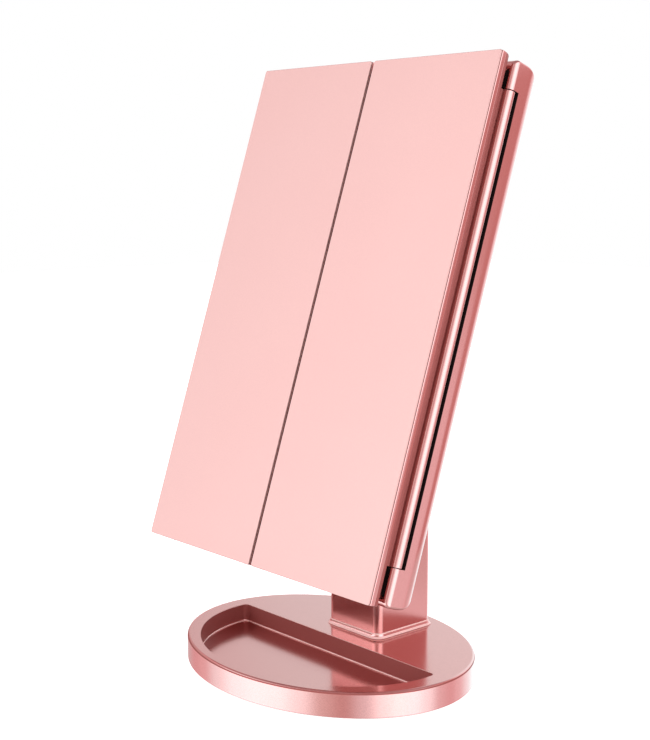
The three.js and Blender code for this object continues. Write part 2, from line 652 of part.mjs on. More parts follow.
// Seat and tongue on the post's top, which carry the tilt axle
function makeKnuckle() {
  const side = new THREE.Shape();
  const sunkLevel = postTop + SEAT_THICKNESS / 2;
  side.moveTo(PIVOT_Y - TONGUE_RADIUS, sunkLevel);
  side.lineTo(PIVOT_Y + TONGUE_RADIUS + TONGUE_FOOT, sunkLevel);
  side.lineTo(PIVOT_Y + TONGUE_RADIUS + TONGUE_FOOT, seatTop);
  side.lineTo(PIVOT_Y + TONGUE_RADIUS, PIVOT_Z);
  side.absarc(PIVOT_Y, PIVOT_Z, TONGUE_RADIUS, 0, Math.PI, false);
  side.closePath();
  const tongue = acrossX(side, centred(0, TONGUE_WIDTH));
  const seatCore = roundedCore(centred(0, TONGUE_WIDTH + 2 * (SEAT_SIDE - SEAT_MARGIN)), [
    POST_FRONT + 2 * SEAT_MARGIN,
    postBack - 2 * SEAT_MARGIN,
  ]);
  const seat = upright(seatCore, [[postTop, SEAT_MARGIN], ...roundEnd(seatTop, SEAT_MARGIN, 0.8, 2)]);
  const bore = rodX(centred(0, TONGUE_WIDTH + 2 * PAST), PIVOT_Y, PIVOT_Z, AXLE_RADIUS + GAP);
  const through = [postTop - PAST, seatTop + PAST];
  const holes = seatScrewPlaces.map(([x, y]) => rodZ(through, x, y, SMALL_SCREW + GAP));
  return cut(join(tongue, seat), bore, ...holes);
}

function makeStand() {
  const stand = new THREE.Group();
  stand.add(
    piece("stand_shell", makeStandShell(), rosePaint),
    piece("stand_bottom_cover", makeBottomCover(), blackPlastic),
    piece("ballast_plate", makeBallast(), steel),
    piece("post_shell", makePostShell(), rosePaint),
    piece("post_rear_cover", makeRearCover(), rosePaint),
    piece("tilt_knuckle", makeKnuckle(), rosePaint),
  );
  padPlaces.forEach((place, i) => stand.add(piece(`rubber_foot_${i + 1}`, makePad(place), rubber)));
  standScrewPlaces.forEach(([x, y], i) => {
    stand.add(screw(`stand_screw_${i + 1}`, STAND_SCREW, standScrewLength, [x, y, standScrewSeat], Math.PI));
  });
  postScrewPlaces.forEach(([x, y], i) => {
    stand.add(screw(`post_screw_${i + 1}`, POST_SCREW, POST_SCREW_LENGTH, [x, y, FOOT_TOP - WALL], Math.PI));
  });
  seatScrewPlaces.forEach(([x, y], i) => {
    stand.add(screw(`knuckle_screw_${i + 1}`, SMALL_SCREW, SMALL_SCREW_LENGTH, [x, y, seatTop]));
  });
  [["left", -1], ["right", 1]].forEach(([hand, side]) => {
    const inner = TONGUE_WIDTH / 2 + GAP;
    const limits = onSide(side, inner, inner + WASHER);
    const washer = ringX(limits, PIVOT_Y, PIVOT_Z, WASHER_RADIUS, AXLE_RADIUS + GAP);
    stand.add(piece(`friction_washer_${hand}`, washer, rubber));
  });
  return stand;
}

// Head frame: a pillow-edged box with a pocket for the mirror, hinge slots at the sides and an open back
function makeHeadFrame() {
  const core = mitredCore([-headHalf, headHalf], [0, HEAD_HEIGHT], FRAME_CORNER);
  const backRound = Array.from({ length: 6 }, (_, i) => {
    const angle = (Math.PI / 2) * (i / 5);
    const drawIn = 1 - Math.cos(angle);
    const depth = HEAD_DEPTH - BACK_ROUND_DEPTH * (1 - Math.sin(angle));
    return [depth, -BACK_ROUND_SIDE * drawIn, -BACK_ROUND_END * drawIn];
  });
  const outer = backward(core, [...roundStart(frameFront, 0, HINGE_RADIUS, 6), ...backRound]);
  const pocket = block([-pocketX, pocketX], [frameFront - PAST, pocketBack], [POCKET_END, pocketTop]);
  const opening = block([-windowX, windowX], [frameFront, HEAD_DEPTH + PAST], [
    POCKET_END + POCKET_LEDGE,
    pocketTop - POCKET_LEDGE,
  ]);
  const backSeat = block(
    [-headHalf + BACK_SEAT_MARGIN, headHalf - BACK_SEAT_MARGIN],
    [backSeatFront, HEAD_DEPTH + PAST],
    [BACK_SEAT_MARGIN, HEAD_HEIGHT - BACK_SEAT_MARGIN],
  );
  const bosses = backScrewPlaces.map(([x, z]) => rodY([pocketBack, backSeatFront], x, z, BACK_BOSS));
  const bossDepth = [pocketBack - PAST, HEAD_DEPTH];
  const bossHoles = backScrewPlaces.map(([x, z]) => rodY(bossDepth, x, z, SMALL_SCREW + GAP));
  const slots = [-1, 1].map((side) =>
    block(onSide(side, slotX, headHalf + PAST), [frameFront - PAST, slotBack], [KNUCKLE_FOOT, slotTop]),
  );
  const bores = [-1, 1].map((side) =>
    rodZ(
      [KNUCKLE_FOOT - PIN_BITE - GAP, slotTop + PIN_BITE + GAP],
      side * hingeX,
      HINGE_DEPTH,
      PIN_RADIUS + GAP,
    ),
  );
  const ring = cut(outer, pocket, opening, backSeat);
  return cut(join(ring, ...bosses), ...bossHoles, ...slots, ...bores);
}

// Back shell: flat plate, raised housing, battery bay with its door recess, board pillars and screw bosses
function makeBackShell() {
  const margin = BACK_SEAT_MARGIN + GAP;
  const plate = block([-headHalf + margin, headHalf - margin], [backPlateFront, HEAD_DEPTH], [
    margin,
    HEAD_HEIGHT - margin,
  ]);
  const housingHalf = HOUSING_WIDTH / 2;
  const housingCore = roundedCore(centred(0, HOUSING_WIDTH - 2 * HOUSING_CORNER), [
    housingFoot + HOUSING_CORNER,
    housingTop - HOUSING_CORNER,
  ]);
  const housing = backward(housingCore, [
    [backPlateFront, HOUSING_CORNER],
    ...roundEnd(housingBack, HOUSING_CORNER, HOUSING_ROUND),
  ]);
  const hollow = block(
    centred(0, HOUSING_WIDTH - 2 * WALL),
    [backPlateFront - PAST, housingHollow],
    [housingFoot + WALL, housingTop - WALL],
  );
  const bayOuter = block(
    [-bayHalf - BAY_WALL, bayHalf + BAY_WALL],
    [bayFront, doorFront - GAP],
    [bayFoot - BAY_WALL, housingTop - HOUSING_ROUND],
  );
  const bay = block([-bayHalf, bayHalf], [bayFront + BAY_FLOOR, housingBack], [bayFoot, bayTop]);
  const recessHalf = doorHalf + GAP;
  const recess = block([-recessHalf, recessHalf], [doorFront - GAP, housingBack + PAST], [
    doorFoot - GAP,
    housingTop + PAST,
  ]);
  const grooveHalf = recessHalf + DOOR_TONGUE_REACH;
  const groove = block([-grooveHalf, grooveHalf], [doorFront - GAP, housingBack - DOOR_LIP], [
    doorFoot - GAP,
    housingTop + PAST,
  ]);
  const pillars = pillarPlaces.map((x) =>
    rodY([boardBack + GAP, housingHollow + HOUSING_SKIN / 2], x, boardMiddle, BOARD_PILLAR_RADIUS),
  );
  const switchSlot = block(
    [switchX - SWITCH_STEM / 2 - GAP, switchX + SWITCH_STEM / 2 + SWITCH_TRAVEL + GAP],
    [housingHollow - PAST, housingBack + PAST],
    centred(boardMiddle, SWITCH_STEM_HEIGHT + 2 * GAP),
  );
  const socketHole = block(
    [housingHalf - WALL - PAST, housingHalf + PAST],
    [boardBack, boardBack + SOCKET_DEPTH + 2 * GAP],
    centred(boardMiddle, SOCKET_HEIGHT + 2 * GAP),
  );
  const bracketBosses = bracketScrewPlaces.map(([x, z]) =>
    rodY([backPlateFront - BOSS_DEPTH, backPlateFront + PAST], x, z, headRadius(SMALL_SCREW)),
  );
  const bracketHoles = bracketScrewPlaces.map(([x, z]) =>
    rodY([backPlateFront - BOSS_DEPTH - PAST, HEAD_DEPTH + PAST], x, z, SMALL_SCREW + GAP),
  );
  const backHoles = backScrewPlaces.flatMap(([x, z]) => [
    rodY([backPlateFront - PAST, HEAD_DEPTH + PAST], x, z, SMALL_SCREW + GAP),
    rodY([backScrewSeat, HEAD_DEPTH + PAST], x, z, headRadius(SMALL_SCREW) + GAP),
  ]);
  const shell = join(cut(join(plate, housing), hollow), bayOuter, ...pillars, ...bracketBosses);
  return cut(shell, bay, recess, groove, switchSlot, socketHole, ...bracketHoles, ...backHoles);
}

function makeDoor() {
  const skin = block([-doorHalf, doorHalf], [doorFront, housingBack], [doorFoot, housingTop]);
  const tongueHalf = doorHalf + DOOR_TONGUE_REACH;
  const tongueDepth = [doorFront, doorFront + DOOR_TONGUE];
  const tongue = block([-tongueHalf, tongueHalf], tongueDepth, [doorFoot, housingTop]);
  return join(skin, tongue);
}

function makeCell(i) {
  const half = CELL_LENGTH / 2;
  const flip = i % 2 ? -1 : 1;
  const can = rodX(onSide(flip, -half, half - CELL_NUB), cellDepth, cellUp(i), CELL_RADIUS, 28);
  const nub = rodX(onSide(flip, half - 2 * CELL_NUB, half), cellDepth, cellUp(i), CELL_NUB_RADIUS, 16);
  return join(can, nub);
}

function makeContacts(side) {
  const back = bayHalf - GAP;
  const plate = block(onSide(side, back - CONTACT, back), centred(cellDepth, CONTACT_WIDTH), [
    cellUp(0) - CONTACT_WIDTH / 2,
    cellUp(CELLS - 1) + CONTACT_WIDTH / 2,
  ]);
  const leaves = Array.from({ length: CELLS }, (_, i) =>
    rodX(
      onSide(side, back - CONTACT - CONTACT_LEAF, back - CONTACT / 2),
      cellDepth,
      cellUp(i),
      CONTACT_LEAF_RADIUS,
      16,
    ),
  );
  return join(plate, ...leaves);
}

// White carrier behind the glass, with open channels for the lamp boards and a seat for the touch sensor
function makeCarrier() {
  const half = pocketX - GAP;
  const foot = POCKET_END + GAP;
  const body = block([-half, half], [carrierFront, carrierBack], [foot, pocketTop - GAP]);
  const channelHalf = LAMP_CHANNEL / 2;
  const innerX = channelX - channelHalf - CARRIER_WALL;
  const innerTop = channelZ - channelHalf - CARRIER_WALL;
  const hollowDepth = [carrierPlateBack, carrierBack + PAST];
  const hollow = block([-innerX, innerX], hollowDepth, [foot + CARRIER_WALL, innerTop]);
  const levels = [carrierFront - PAST, channelFloor];
  const sideChannels = [-1, 1].map((side) =>
    block(centred(side * channelX, LAMP_CHANNEL), levels, [
      SIDE_BOARD_FOOT - LAMP_CHANNEL_END,
      sideBoardTop + LAMP_CHANNEL_END,
    ]),
  );
  const topChannel = block(
    centred(0, topBoardLength + 2 * LAMP_CHANNEL_END),
    levels,
    centred(channelZ, LAMP_CHANNEL),
  );
  const touchSeat = rodY(
    [carrierFront - PAST, carrierFront + TOUCH_THICKNESS + GAP],
    0,
    TOUCH_UP,
    TOUCH_RADIUS + GAP,
    24,
  );
  return cut(body, hollow, ...sideChannels, topChannel, touchSeat);
}

// Frosted strip up both sides and across the top, round the centre glass
function makeLightStrip() {
  const half = pocketX - GAP;
  const levels = [glassFront, glassBack];
  const whole = block([-half, half], levels, [POCKET_END + GAP, pocketTop - GAP]);
  const middle = block([-bandInner, bandInner], [glassFront - PAST, glassBack + PAST], [0, bandFoot]);
  return cut(whole, middle);
}

function makeCentreMirror() {
  const glassHalf = bandInner - GAP;
  return block([-glassHalf, glassHalf], [glassFront, glassBack], [POCKET_END + GAP, bandFoot - GAP]);
}

function makeLampBoard(length, lamps, place) {
  const boardLevels = [channelFloor - GAP - LAMP_BOARD, channelFloor - GAP];
  const lampLevels = [boardLevels[0] - LAMP[1], boardLevels[0] + LAMP_BOARD / 2];
  const pitch = length / lamps;
  const strip = place(centred(0, length), centred(0, LAMP_BOARD_WIDTH), boardLevels);
  const diodes = Array.from({ length: lamps }, (_, i) =>
    place(centred((i - (lamps - 1) / 2) * pitch, LAMP[0]), centred(0, LAMP[2]), lampLevels),
  );
  return join(strip, ...diodes);
}

function makeSideLampBoard(side) {
  const middle = (SIDE_BOARD_FOOT + sideBoardTop) / 2;
  return makeLampBoard(sideBoardTop - SIDE_BOARD_FOOT, SIDE_LAMPS, (along, over, levels) =>
    block(over.map((x) => x + side * channelX), levels, along.map((z) => z + middle)),
  );
}

function makeTopLampBoard() {
  return makeLampBoard(topBoardLength, TOP_LAMPS, (along, over, levels) =>
    block(along, levels, over.map((z) => z + channelZ)),
  );
}

function makeControlBoard() {
  const board = block(centred(0, boardWidth), [boardFront, boardBack], [boardFoot, boardFoot + BOARD_HEIGHT]);
  const chips = BOARD_CHIPS.map((x) =>
    block(centred(x, CHIP[0]), [boardFront - CHIP[1], boardFront + BOARD / 2], centred(boardMiddle, CHIP[2])),
  );
  return join(board, ...chips);
}

function makeSocket() {
  const mouth = HOUSING_WIDTH / 2 - SOCKET_RECESS;
  const inner = mouth - SOCKET_LENGTH;
  const front = boardBack + GAP;
  const shell = block([inner, mouth], [front, front + SOCKET_DEPTH], centred(boardMiddle, SOCKET_HEIGHT));
  const bore = block(
    [inner + SOCKET_WALL, mouth + PAST],
    [front + SOCKET_WALL, front + SOCKET_DEPTH - SOCKET_WALL],
    centred(boardMiddle, SOCKET_HEIGHT - 2 * SOCKET_WALL),
  );
  const tongue = block(
    [inner, mouth - SOCKET_LENGTH / 4],
    centred(front + SOCKET_DEPTH / 2, SOCKET_TONGUE),
    centred(boardMiddle, SOCKET_HEIGHT / 2),
  );
  return join(cut(shell, bore), tongue);
}

function makeSwitchBody() {
  const body = block(
    centred(switchX + SWITCH_TRAVEL / 2, SWITCH_BODY_WIDTH),
    [boardBack + GAP, housingHollow - GAP],
    centred(boardMiddle, SWITCH_BODY_HEIGHT),
  );
  const slot = block(
    [switchX - SWITCH_STEM / 2 - GAP, switchX + SWITCH_STEM / 2 + SWITCH_TRAVEL + GAP],
    [housingHollow - 2 * GAP - SWITCH_STEM_DIP, housingHollow],
    centred(boardMiddle, SWITCH_STEM_HEIGHT + 2 * GAP),
  );
  return cut(body, slot);
}

function makeSwitchKnob() {
  const capFront = housingBack + GAP;
  const cap = block(
    centred(switchX, SWITCH_KNOB_WIDTH),
    [capFront, capFront + SWITCH_KNOB],
    centred(boardMiddle, SWITCH_KNOB_HEIGHT),
  );
  const stem = block(
    centred(switchX, SWITCH_STEM),
    [housingHollow - GAP - SWITCH_STEM_DIP, capFront + SWITCH_KNOB / 2],
    centred(boardMiddle, SWITCH_STEM_HEIGHT),
  );
  return join(cap, stem);
}

function makeBracket() {
  const plateCore = roundedCore(centred(0, BRACKET_WIDTH - 2 * BRACKET_CORNER), [
    pivotUp - BRACKET_BELOW + BRACKET_CORNER,
    pivotUp + BRACKET_ABOVE - BRACKET_CORNER,
  ]);
  const plate = backward(plateCore, [[bracketFront, BRACKET_CORNER], [bracketBack, BRACKET_CORNER]]);
  const ears = [-1, 1].map((side) => {
    const outline = new THREE.Shape();
    outline.moveTo(bracketFront + BRACKET_PLATE / 2, pivotUp - EAR_RADIUS);
    outline.absarc(pivotDepth, pivotUp, EAR_RADIUS, -Math.PI / 2, Math.PI / 2, false);
    outline.lineTo(bracketFront + BRACKET_PLATE / 2, pivotUp + EAR_RADIUS);
    outline.closePath();
    return acrossX(outline, onSide(side, earInner, earOuter));
  });
  const bore = rodX(centred(0, BRACKET_WIDTH), pivotDepth, pivotUp, AXLE_RADIUS + GAP);
  const holes = bracketScrewPlaces.map(([x, z]) =>
    rodY([bracketFront - PAST, bracketBack + PAST], x, z, SMALL_SCREW + GAP),
  );
  return cut(join(plate, ...ears), bore, ...holes);
}

function makeAxle() {
  const rod = rodX([-axleEnd + AXLE_HEAD / 2, axleEnd + GAP], pivotDepth, pivotUp, AXLE_RADIUS);
  const head = rodX([-axleEnd, -axleEnd + AXLE_HEAD], pivotDepth, pivotUp, AXLE_HEAD_RADIUS);
  return join(rod, head);
}

function makeNut() {
  return ringX([axleEnd - AXLE_HEAD, axleEnd], pivotDepth, pivotUp, AXLE_HEAD_RADIUS, AXLE_RADIUS + GAP, 6);
}

// Wings: side is -1 for the left and +1 for the right
function makeWingFrame(side, glassPockets) {
  const start = headHalf - WING_EDGE_ROUND;
  const section = [
    [wingInner, wingFront],
    ...arc(start, flankStart, WING_EDGE_ROUND, -Math.PI / 2, 0, 3).slice(0, -1),
    ...arc(headHalf - FLANK_RADIUS, flankStart, FLANK_RADIUS, 0, flankTurn(WING_BACK), 6),
    [wingInner, WING_BACK],
  ];
  const onBarrel = (turn) => arc(hingeX, HINGE_DEPTH, HINGE_RADIUS, turn, turn, 1)[0];
  const neck = [
    [neckOuter - NECK, WING_BACK - PAST],
    [neckOuter, WING_BACK - PAST],
    [neckOuter, WING_BACK],
    onBarrel(NECK_OUTER_TURN),
    [hingeX, HINGE_DEPTH],
    onBarrel(NECK_INNER_TURN),
  ];
  const handed = (points) => points.map(([x, y]) => [side * x, y]);
  const barrelLevels = [KNUCKLE_FOOT + GAP, slotTop - GAP];
  const barrel = rodZ(barrelLevels, side * hingeX, HINGE_DEPTH, HINGE_RADIUS, 28);
  const body = join(upZ(handed(section), [0, HEAD_HEIGHT]), upZ(handed(neck), barrelLevels), barrel);
  const cells = makeRibCells(side);
  const pockets = glassPockets.map(([x, z]) => block(onSide(side, ...x), [webBack, WING_BACK + PAST], z));
  const bores = [
    [KNUCKLE_FOOT - PAST, KNUCKLE_FOOT + GAP + PIN_BITE + GAP],
    [slotTop - GAP - PIN_BITE - GAP, slotTop + PAST],
  ].map((levels) => rodZ(levels, side * hingeX, HINGE_DEPTH, PIN_RADIUS + GAP));
  return cut(body, ...cells, ...pockets, ...bores);
}

// Hollows between the stiffening ribs behind the wing's cover
function makeRibCells(side) {
  const ribOuter = flankX(webFront) - WING_RIM;
  const spaces = (low, high, count) => {
    const pitch = (high - low + WING_RIB) / count;
    return Array.from({ length: count }, (_, i) => [low + i * pitch, low + (i + 1) * pitch - WING_RIB]);
  };
  const columns = spaces(wingInner + WING_RIM, ribOuter, RIB_COLUMNS);
  const rows = spaces(WING_RIM, HEAD_HEIGHT - WING_RIM, RIB_ROWS);
  return columns.flatMap((x) => rows.map((z) => block(onSide(side, ...x), [wingFront - PAST, webFront], z)));
}

const wingPocketX = [wingInner + WING_GLASS_MARGIN, flankEnd - WING_GLASS_MARGIN];
const wingPocketZ = [WING_GLASS_MARGIN, HEAD_HEIGHT - WING_GLASS_MARGIN];
const barFoot = (HEAD_HEIGHT - MAGNIFIER_BAR) / 2;
const barTop = (HEAD_HEIGHT + MAGNIFIER_BAR) / 2;
const lowerPocket = [wingPocketX, [wingPocketZ[0], barFoot]];
const upperPocket = [wingPocketX, [barTop, wingPocketZ[1]]];

function makeWingGlass(side, [x, z]) {
  const shrink = ([low, high]) => [low + GAP, high - GAP];
  return block(onSide(side, ...shrink(x)), [webBack + GAP, wingGlassBack], shrink(z));
}

function makeWingCover(side) {
  return block(onSide(side, wingInner, headHalf), [0, WING_COVER], [0, HEAD_HEIGHT]);
}

function makeHingePin(side, end) {
  const foot = [KNUCKLE_FOOT - PIN_BITE, KNUCKLE_FOOT + GAP + PIN_BITE];
  const top = [slotTop - GAP - PIN_BITE, slotTop + PIN_BITE];
  return rodZ(end === "top" ? top : foot, side * hingeX, HINGE_DEPTH, PIN_RADIUS);
}

function makeWings() {
  const wings = new THREE.Group();
  wings.add(
    piece("left_wing_frame", makeWingFrame(-1, [lowerPocket, upperPocket]), rosePaint),
    piece("left_wing_cover", makeWingCover(-1), roseSatin),
    piece("left_upper_magnifier", makeWingGlass(-1, upperPocket), mirrorGlass),
    piece("left_lower_magnifier", makeWingGlass(-1, lowerPocket), mirrorGlass),
    piece("right_wing_frame", makeWingFrame(1, [[wingPocketX, wingPocketZ]]), rosePaint),
    piece("right_wing_cover", makeWingCover(1), roseSatin),
    piece("right_wing_mirror", makeWingGlass(1, [wingPocketX, wingPocketZ]), mirrorGlass),
  );
  return wings;
}

function makeHead() {
  const head = new THREE.Group();
  const touch = [carrierFront + GAP / 2, carrierFront + GAP / 2 + TOUCH_THICKNESS];
  head.add(
    piece("head_frame", makeHeadFrame(), rosePaint),
    piece("back_shell", makeBackShell(), rosePaint),
    piece("centre_mirror", makeCentreMirror(), mirrorGlass),
    piece("light_strip", makeLightStrip(), frosted),
    piece("lamp_carrier", makeCarrier(), whitePlastic),
    piece("lamp_board_left", makeSideLampBoard(-1), boardWhite),
    piece("lamp_board_right", makeSideLampBoard(1), boardWhite),
    piece("lamp_board_top", makeTopLampBoard(), boardWhite),
    piece("touch_sensor", rodY(touch, 0, TOUCH_UP, TOUCH_RADIUS, 24), copper),
    piece("control_board", makeControlBoard(), boardGreen),
    piece("usb_socket", makeSocket(), nickel),
    piece("switch_body", makeSwitchBody(), blackPlastic),
    piece("switch_knob", makeSwitchKnob(), blackPlastic),
    piece("battery_door", makeDoor(), rosePaint),
    piece("battery_contacts_left", makeContacts(-1), nickel),
    piece("battery_contacts_right", makeContacts(1), nickel),
    piece("pivot_bracket", makeBracket(), steel),
    piece("tilt_axle", makeAxle(), steel),
    piece("tilt_nut", makeNut(), steel),
  );
  for (let i = 0; i < CELLS; i++) head.add(piece(`battery_cell_${i + 1}`, makeCell(i), cellWrap));
  [["left", -1], ["right", 1]].forEach(([hand, side]) =>
    ["top", "foot"].forEach((end) => {
      head.add(piece(`hinge_pin_${hand}_${end}`, makeHingePin(side, end), steel));
    }),
  );
  bracketScrewPlaces.forEach(([x, z], i) => {
    const place = [x, bracketBack + GAP, z];
    head.add(screw(`bracket_screw_${i + 1}`, SMALL_SCREW, SMALL_SCREW_LENGTH, place, -Math.PI / 2));
  });
  backScrewPlaces.forEach(([x, z], i) => {
    const place = [x, backScrewSeat + GAP, z];
    head.add(screw(`back_screw_${i + 1}`, SMALL_SCREW, backScrewLength, place, -Math.PI / 2));
  });
  head.add(makeWings());
  return head;
}

// The head hangs on its axle: its own frame is moved to the axle and leaned back about it
function makeMirror() {
  const lean = THREE.MathUtils.degToRad(LEAN);
  const head = makeHead();
  head.position.set(0, -pivotDepth, -pivotUp);
  const tilted = new THREE.Group();
  tilted.add(head);
  tilted.position.set(0, PIVOT_Y, PIVOT_Z);
  tilted.rotation.x = -lean;
  const mirror = new THREE.Group();
  mirror.add(makeStand(), tilted);
  return mirror;
}

export default makeMirror();
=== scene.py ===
# %% [markdown]
# # A lighted three-fold makeup mirror
# The mirror is closed: two hinged wings cover its front, and the head leans back on a square post over an
# oval foot with a tray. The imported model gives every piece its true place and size. This script dresses it:
# each shell that shows is built again with finer rounds, and every surface gets a procedural finish.

# %% Load the frame and keep its box
import json
import math

import bmesh
import bpy
from mathutils import Matrix, Vector


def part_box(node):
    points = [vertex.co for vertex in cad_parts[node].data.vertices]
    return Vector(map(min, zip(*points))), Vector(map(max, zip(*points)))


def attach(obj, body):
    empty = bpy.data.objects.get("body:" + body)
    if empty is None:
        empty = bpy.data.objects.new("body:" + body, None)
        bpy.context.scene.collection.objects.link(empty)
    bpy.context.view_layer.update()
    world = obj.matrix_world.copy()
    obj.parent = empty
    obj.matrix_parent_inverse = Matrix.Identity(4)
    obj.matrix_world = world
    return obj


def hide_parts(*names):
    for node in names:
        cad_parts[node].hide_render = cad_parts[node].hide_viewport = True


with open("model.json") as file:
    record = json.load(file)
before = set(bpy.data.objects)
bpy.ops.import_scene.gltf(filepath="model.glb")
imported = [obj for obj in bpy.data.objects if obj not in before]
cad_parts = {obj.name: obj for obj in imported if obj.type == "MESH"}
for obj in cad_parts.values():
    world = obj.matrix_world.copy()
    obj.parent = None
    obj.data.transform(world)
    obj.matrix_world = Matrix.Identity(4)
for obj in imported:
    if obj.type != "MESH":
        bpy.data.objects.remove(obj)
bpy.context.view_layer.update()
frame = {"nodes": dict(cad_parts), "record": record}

# %% [markdown]
# ## Camera
# The photograph was fitted with a pinhole camera, so its place, turn and lens are known numbers. The picture
# is a crop whose middle isn't the lens's axis, and a small lens shift takes that up.

# %% The photograph's camera
IMAGE_HIGH = 740  # pixels
FOCAL = 1350.8  # pixels
CAMERA_PLACE = (0.54254, -0.48436, 0.26815)
CAMERA_AZIMUTH = math.radians(48.64)
CAMERA_PITCH = math.radians(8.69)
SHIFT = (0.0084, 0.0220)  # of the picture's longer side

lens = bpy.data.cameras.new("camera")
lens.sensor_width = 36
lens.lens = FOCAL / IMAGE_HIGH * lens.sensor_width
lens.shift_x, lens.shift_y = SHIFT
camera = bpy.data.objects.new("camera", lens)
camera.location = CAMERA_PLACE
camera.rotation_euler = (math.pi / 2 - CAMERA_PITCH, 0, CAMERA_AZIMUTH)
bpy.context.scene.collection.objects.link(camera)
bpy.context.scene.camera = camera
print("camera: lens", round(lens.lens, 1), "mm")

# %% [markdown]
# ## Two drawing boards
# The stand is drawn in millimetres from the middle of the foot. The head leans back, so it is drawn upright
# in its own frame, x across, y back from the wings' front and z up, and one matrix leans it about the tilt
# axle.

# %% Where the stand and the head are drawn
MM = 0.001
LEAN = math.radians(18.4)
HEAD_WIDTH = 183
HEAD_HEIGHT = 279
HEAD_DEPTH = 32.2
AXLE = Vector((0, 29.834, 184.008))
AXLE_DEPTH = 44.2
AXLE_UP = 138
STAND = Matrix.Scale(MM, 4)
HEAD = (
    Matrix.Scale(MM, 4)
    @ Matrix.Translation(AXLE)
    @ Matrix.Rotation(-LEAN, 4, "X")
    @ Matrix.Translation((0, -AXLE_DEPTH, -AXLE_UP))
)
HALF = HEAD_WIDTH / 2

# %% [markdown]
# ## Skins from rings
# Moulded shells are closed surfaces whose sections change little by little. A list of rings, each with as
# many points as the next, describes them well: faces join ring to ring, and the edges' rounds are just more
# rings.


# %% Rings to a closed skin
def skin(name, rings, ends="faces"):
    """Joins the rings with faces. Flat faces close the ends, or with "loop" the last ring meets the first."""
    bm = bmesh.new()
    rows = [[bm.verts.new(point) for point in ring] for ring in rings]
    pairs = list(zip(rows, rows[1:]))
    if ends == "loop":
        pairs.append((rows[-1], rows[0]))
    for low, high in pairs:
        for i, corner in enumerate(low):
            after = (i + 1) % len(low)
            bm.faces.new((corner, low[after], high[after], high[i]))
    if ends == "faces":
        bm.faces.new(rows[0][::-1])
        bm.faces.new(rows[-1])
    bmesh.ops.recalc_face_normals(bm, faces=bm.faces)
    mesh = bpy.data.meshes.new(name)
    bm.to_mesh(mesh)
    bm.free()
    piece = bpy.data.objects.new(name, mesh)
    bpy.context.scene.collection.objects.link(piece)
    return piece


def applied(piece):
    """Turns the piece's modifiers into its mesh."""
    bpy.context.view_layer.update()
    view = piece.evaluated_get(bpy.context.evaluated_depsgraph_get())
    made = bpy.data.meshes.new_from_object(view)
    piece.modifiers.clear()
    drawn, piece.data = piece.data, made
    bpy.data.meshes.remove(drawn)
    return piece


def carve(piece, *tools, how="DIFFERENCE"):
    """Cuts the tools from the piece, or joins them to it with how="UNION". The tools are used up."""
    for tool in tools:
        step = piece.modifiers.new("carve", "BOOLEAN")
        step.object = tool
        step.operation = how
        step.solver = "EXACT"
    applied(piece)
    for tool in tools:
        bpy.data.objects.remove(tool)
    return piece


def soften(piece, width, segments=2, angle=30):
    """Rounds the edges that are sharper than the angle."""
    step = piece.modifiers.new("soften", "BEVEL")
    step.width = width
    step.segments = segments
    step.limit_method = "ANGLE"
    step.angle_limit = math.radians(angle)
    return applied(piece)


# %% [markdown]
# ## Outlines that can grow
# A rounded edge is the same outline drawn a little larger on each ring. So an outline keeps, beside each
# point, the direction in which it moves when the outline grows.


# %% Outlines and quarter rounds
def turned(angle):
    """The point on a round of radius 1 at this angle, which is also the direction in which it grows."""
    return math.cos(angle), math.sin(angle)


def rectangle(x, z, steps=8):
    """Four corner points, each repeated for the turn round it: growing by r gives corners of radius r."""
    corners = [(x[1], z[1]), (x[0], z[1]), (x[0], z[0]), (x[1], z[0])]
    points = []
    for i, corner in enumerate(corners):
        points += [(*corner, *turned(math.pi / 2 * (i + step / steps))) for step in range(steps + 1)]
    return points


def mitred(x, z, corner, steps=4):
    """A rectangle whose corners keep their radius at every size, as on a picture frame."""
    core = rectangle((x[0] + corner, x[1] - corner), (z[0] + corner, z[1] - corner), steps)
    middle = ((x[0] + x[1]) / 2, (z[0] + z[1]) / 2)
    points = []
    for px, pz, nx, nz in core:
        away = (math.copysign(1, px - middle[0]), math.copysign(1, pz - middle[1]))
        points.append((px + corner * nx, pz + corner * nz, *away))
    return points


def grown(outline, grow_x, grow_y=None):
    """The outline's points, moved outwards by the growth, which may differ in its two directions."""
    grow_y = grow_x if grow_y is None else grow_y
    return [(x + grow_x * nx, y + grow_y * ny) for x, y, nx, ny in outline]


def round_in(level, growth, radius, steps=8):
    """Levels from a face out to the full growth, along a quarter round."""
    angles = [math.pi / 2 * i / steps for i in range(steps + 1)]
    return [(level + radius * (1 - math.cos(a)), growth - radius * (1 - math.sin(a))) for a in angles]


def round_out(level, growth, radius, steps=8):
    """Levels from the full growth in to a face, along a quarter round."""
    return [(level - rise, out) for rise, out in round_in(0, growth, radius, steps)][::-1]


def upright(outline, profile):
    """Rings that stand up: each entry of the profile is (z, growth)."""
    return [[(x, y, level) for x, y in grown(outline, growth)] for level, growth in profile]


def backward(outline, profile):
    """Rings that run back from the viewer: each entry is (depth, growth) or (depth, growth x, growth z)."""
    return [[(x, depth, z) for x, z in grown(outline, *growth)] for depth, *growth in profile]


def across(outline, profile):
    """Rings that run across: the outline is in y and z, and each entry is (x, growth)."""
    return [[(level, y, z) for y, z in grown(outline, growth)] for level, growth in profile]


def circle(x, y, steps=48):
    """A point that grows into a circle."""
    return [(x, y, *turned(2 * math.pi * i / steps)) for i in range(steps)]


def centred(middle, width):
    """The span of this width about the middle."""
    return middle - width / 2, middle + width / 2


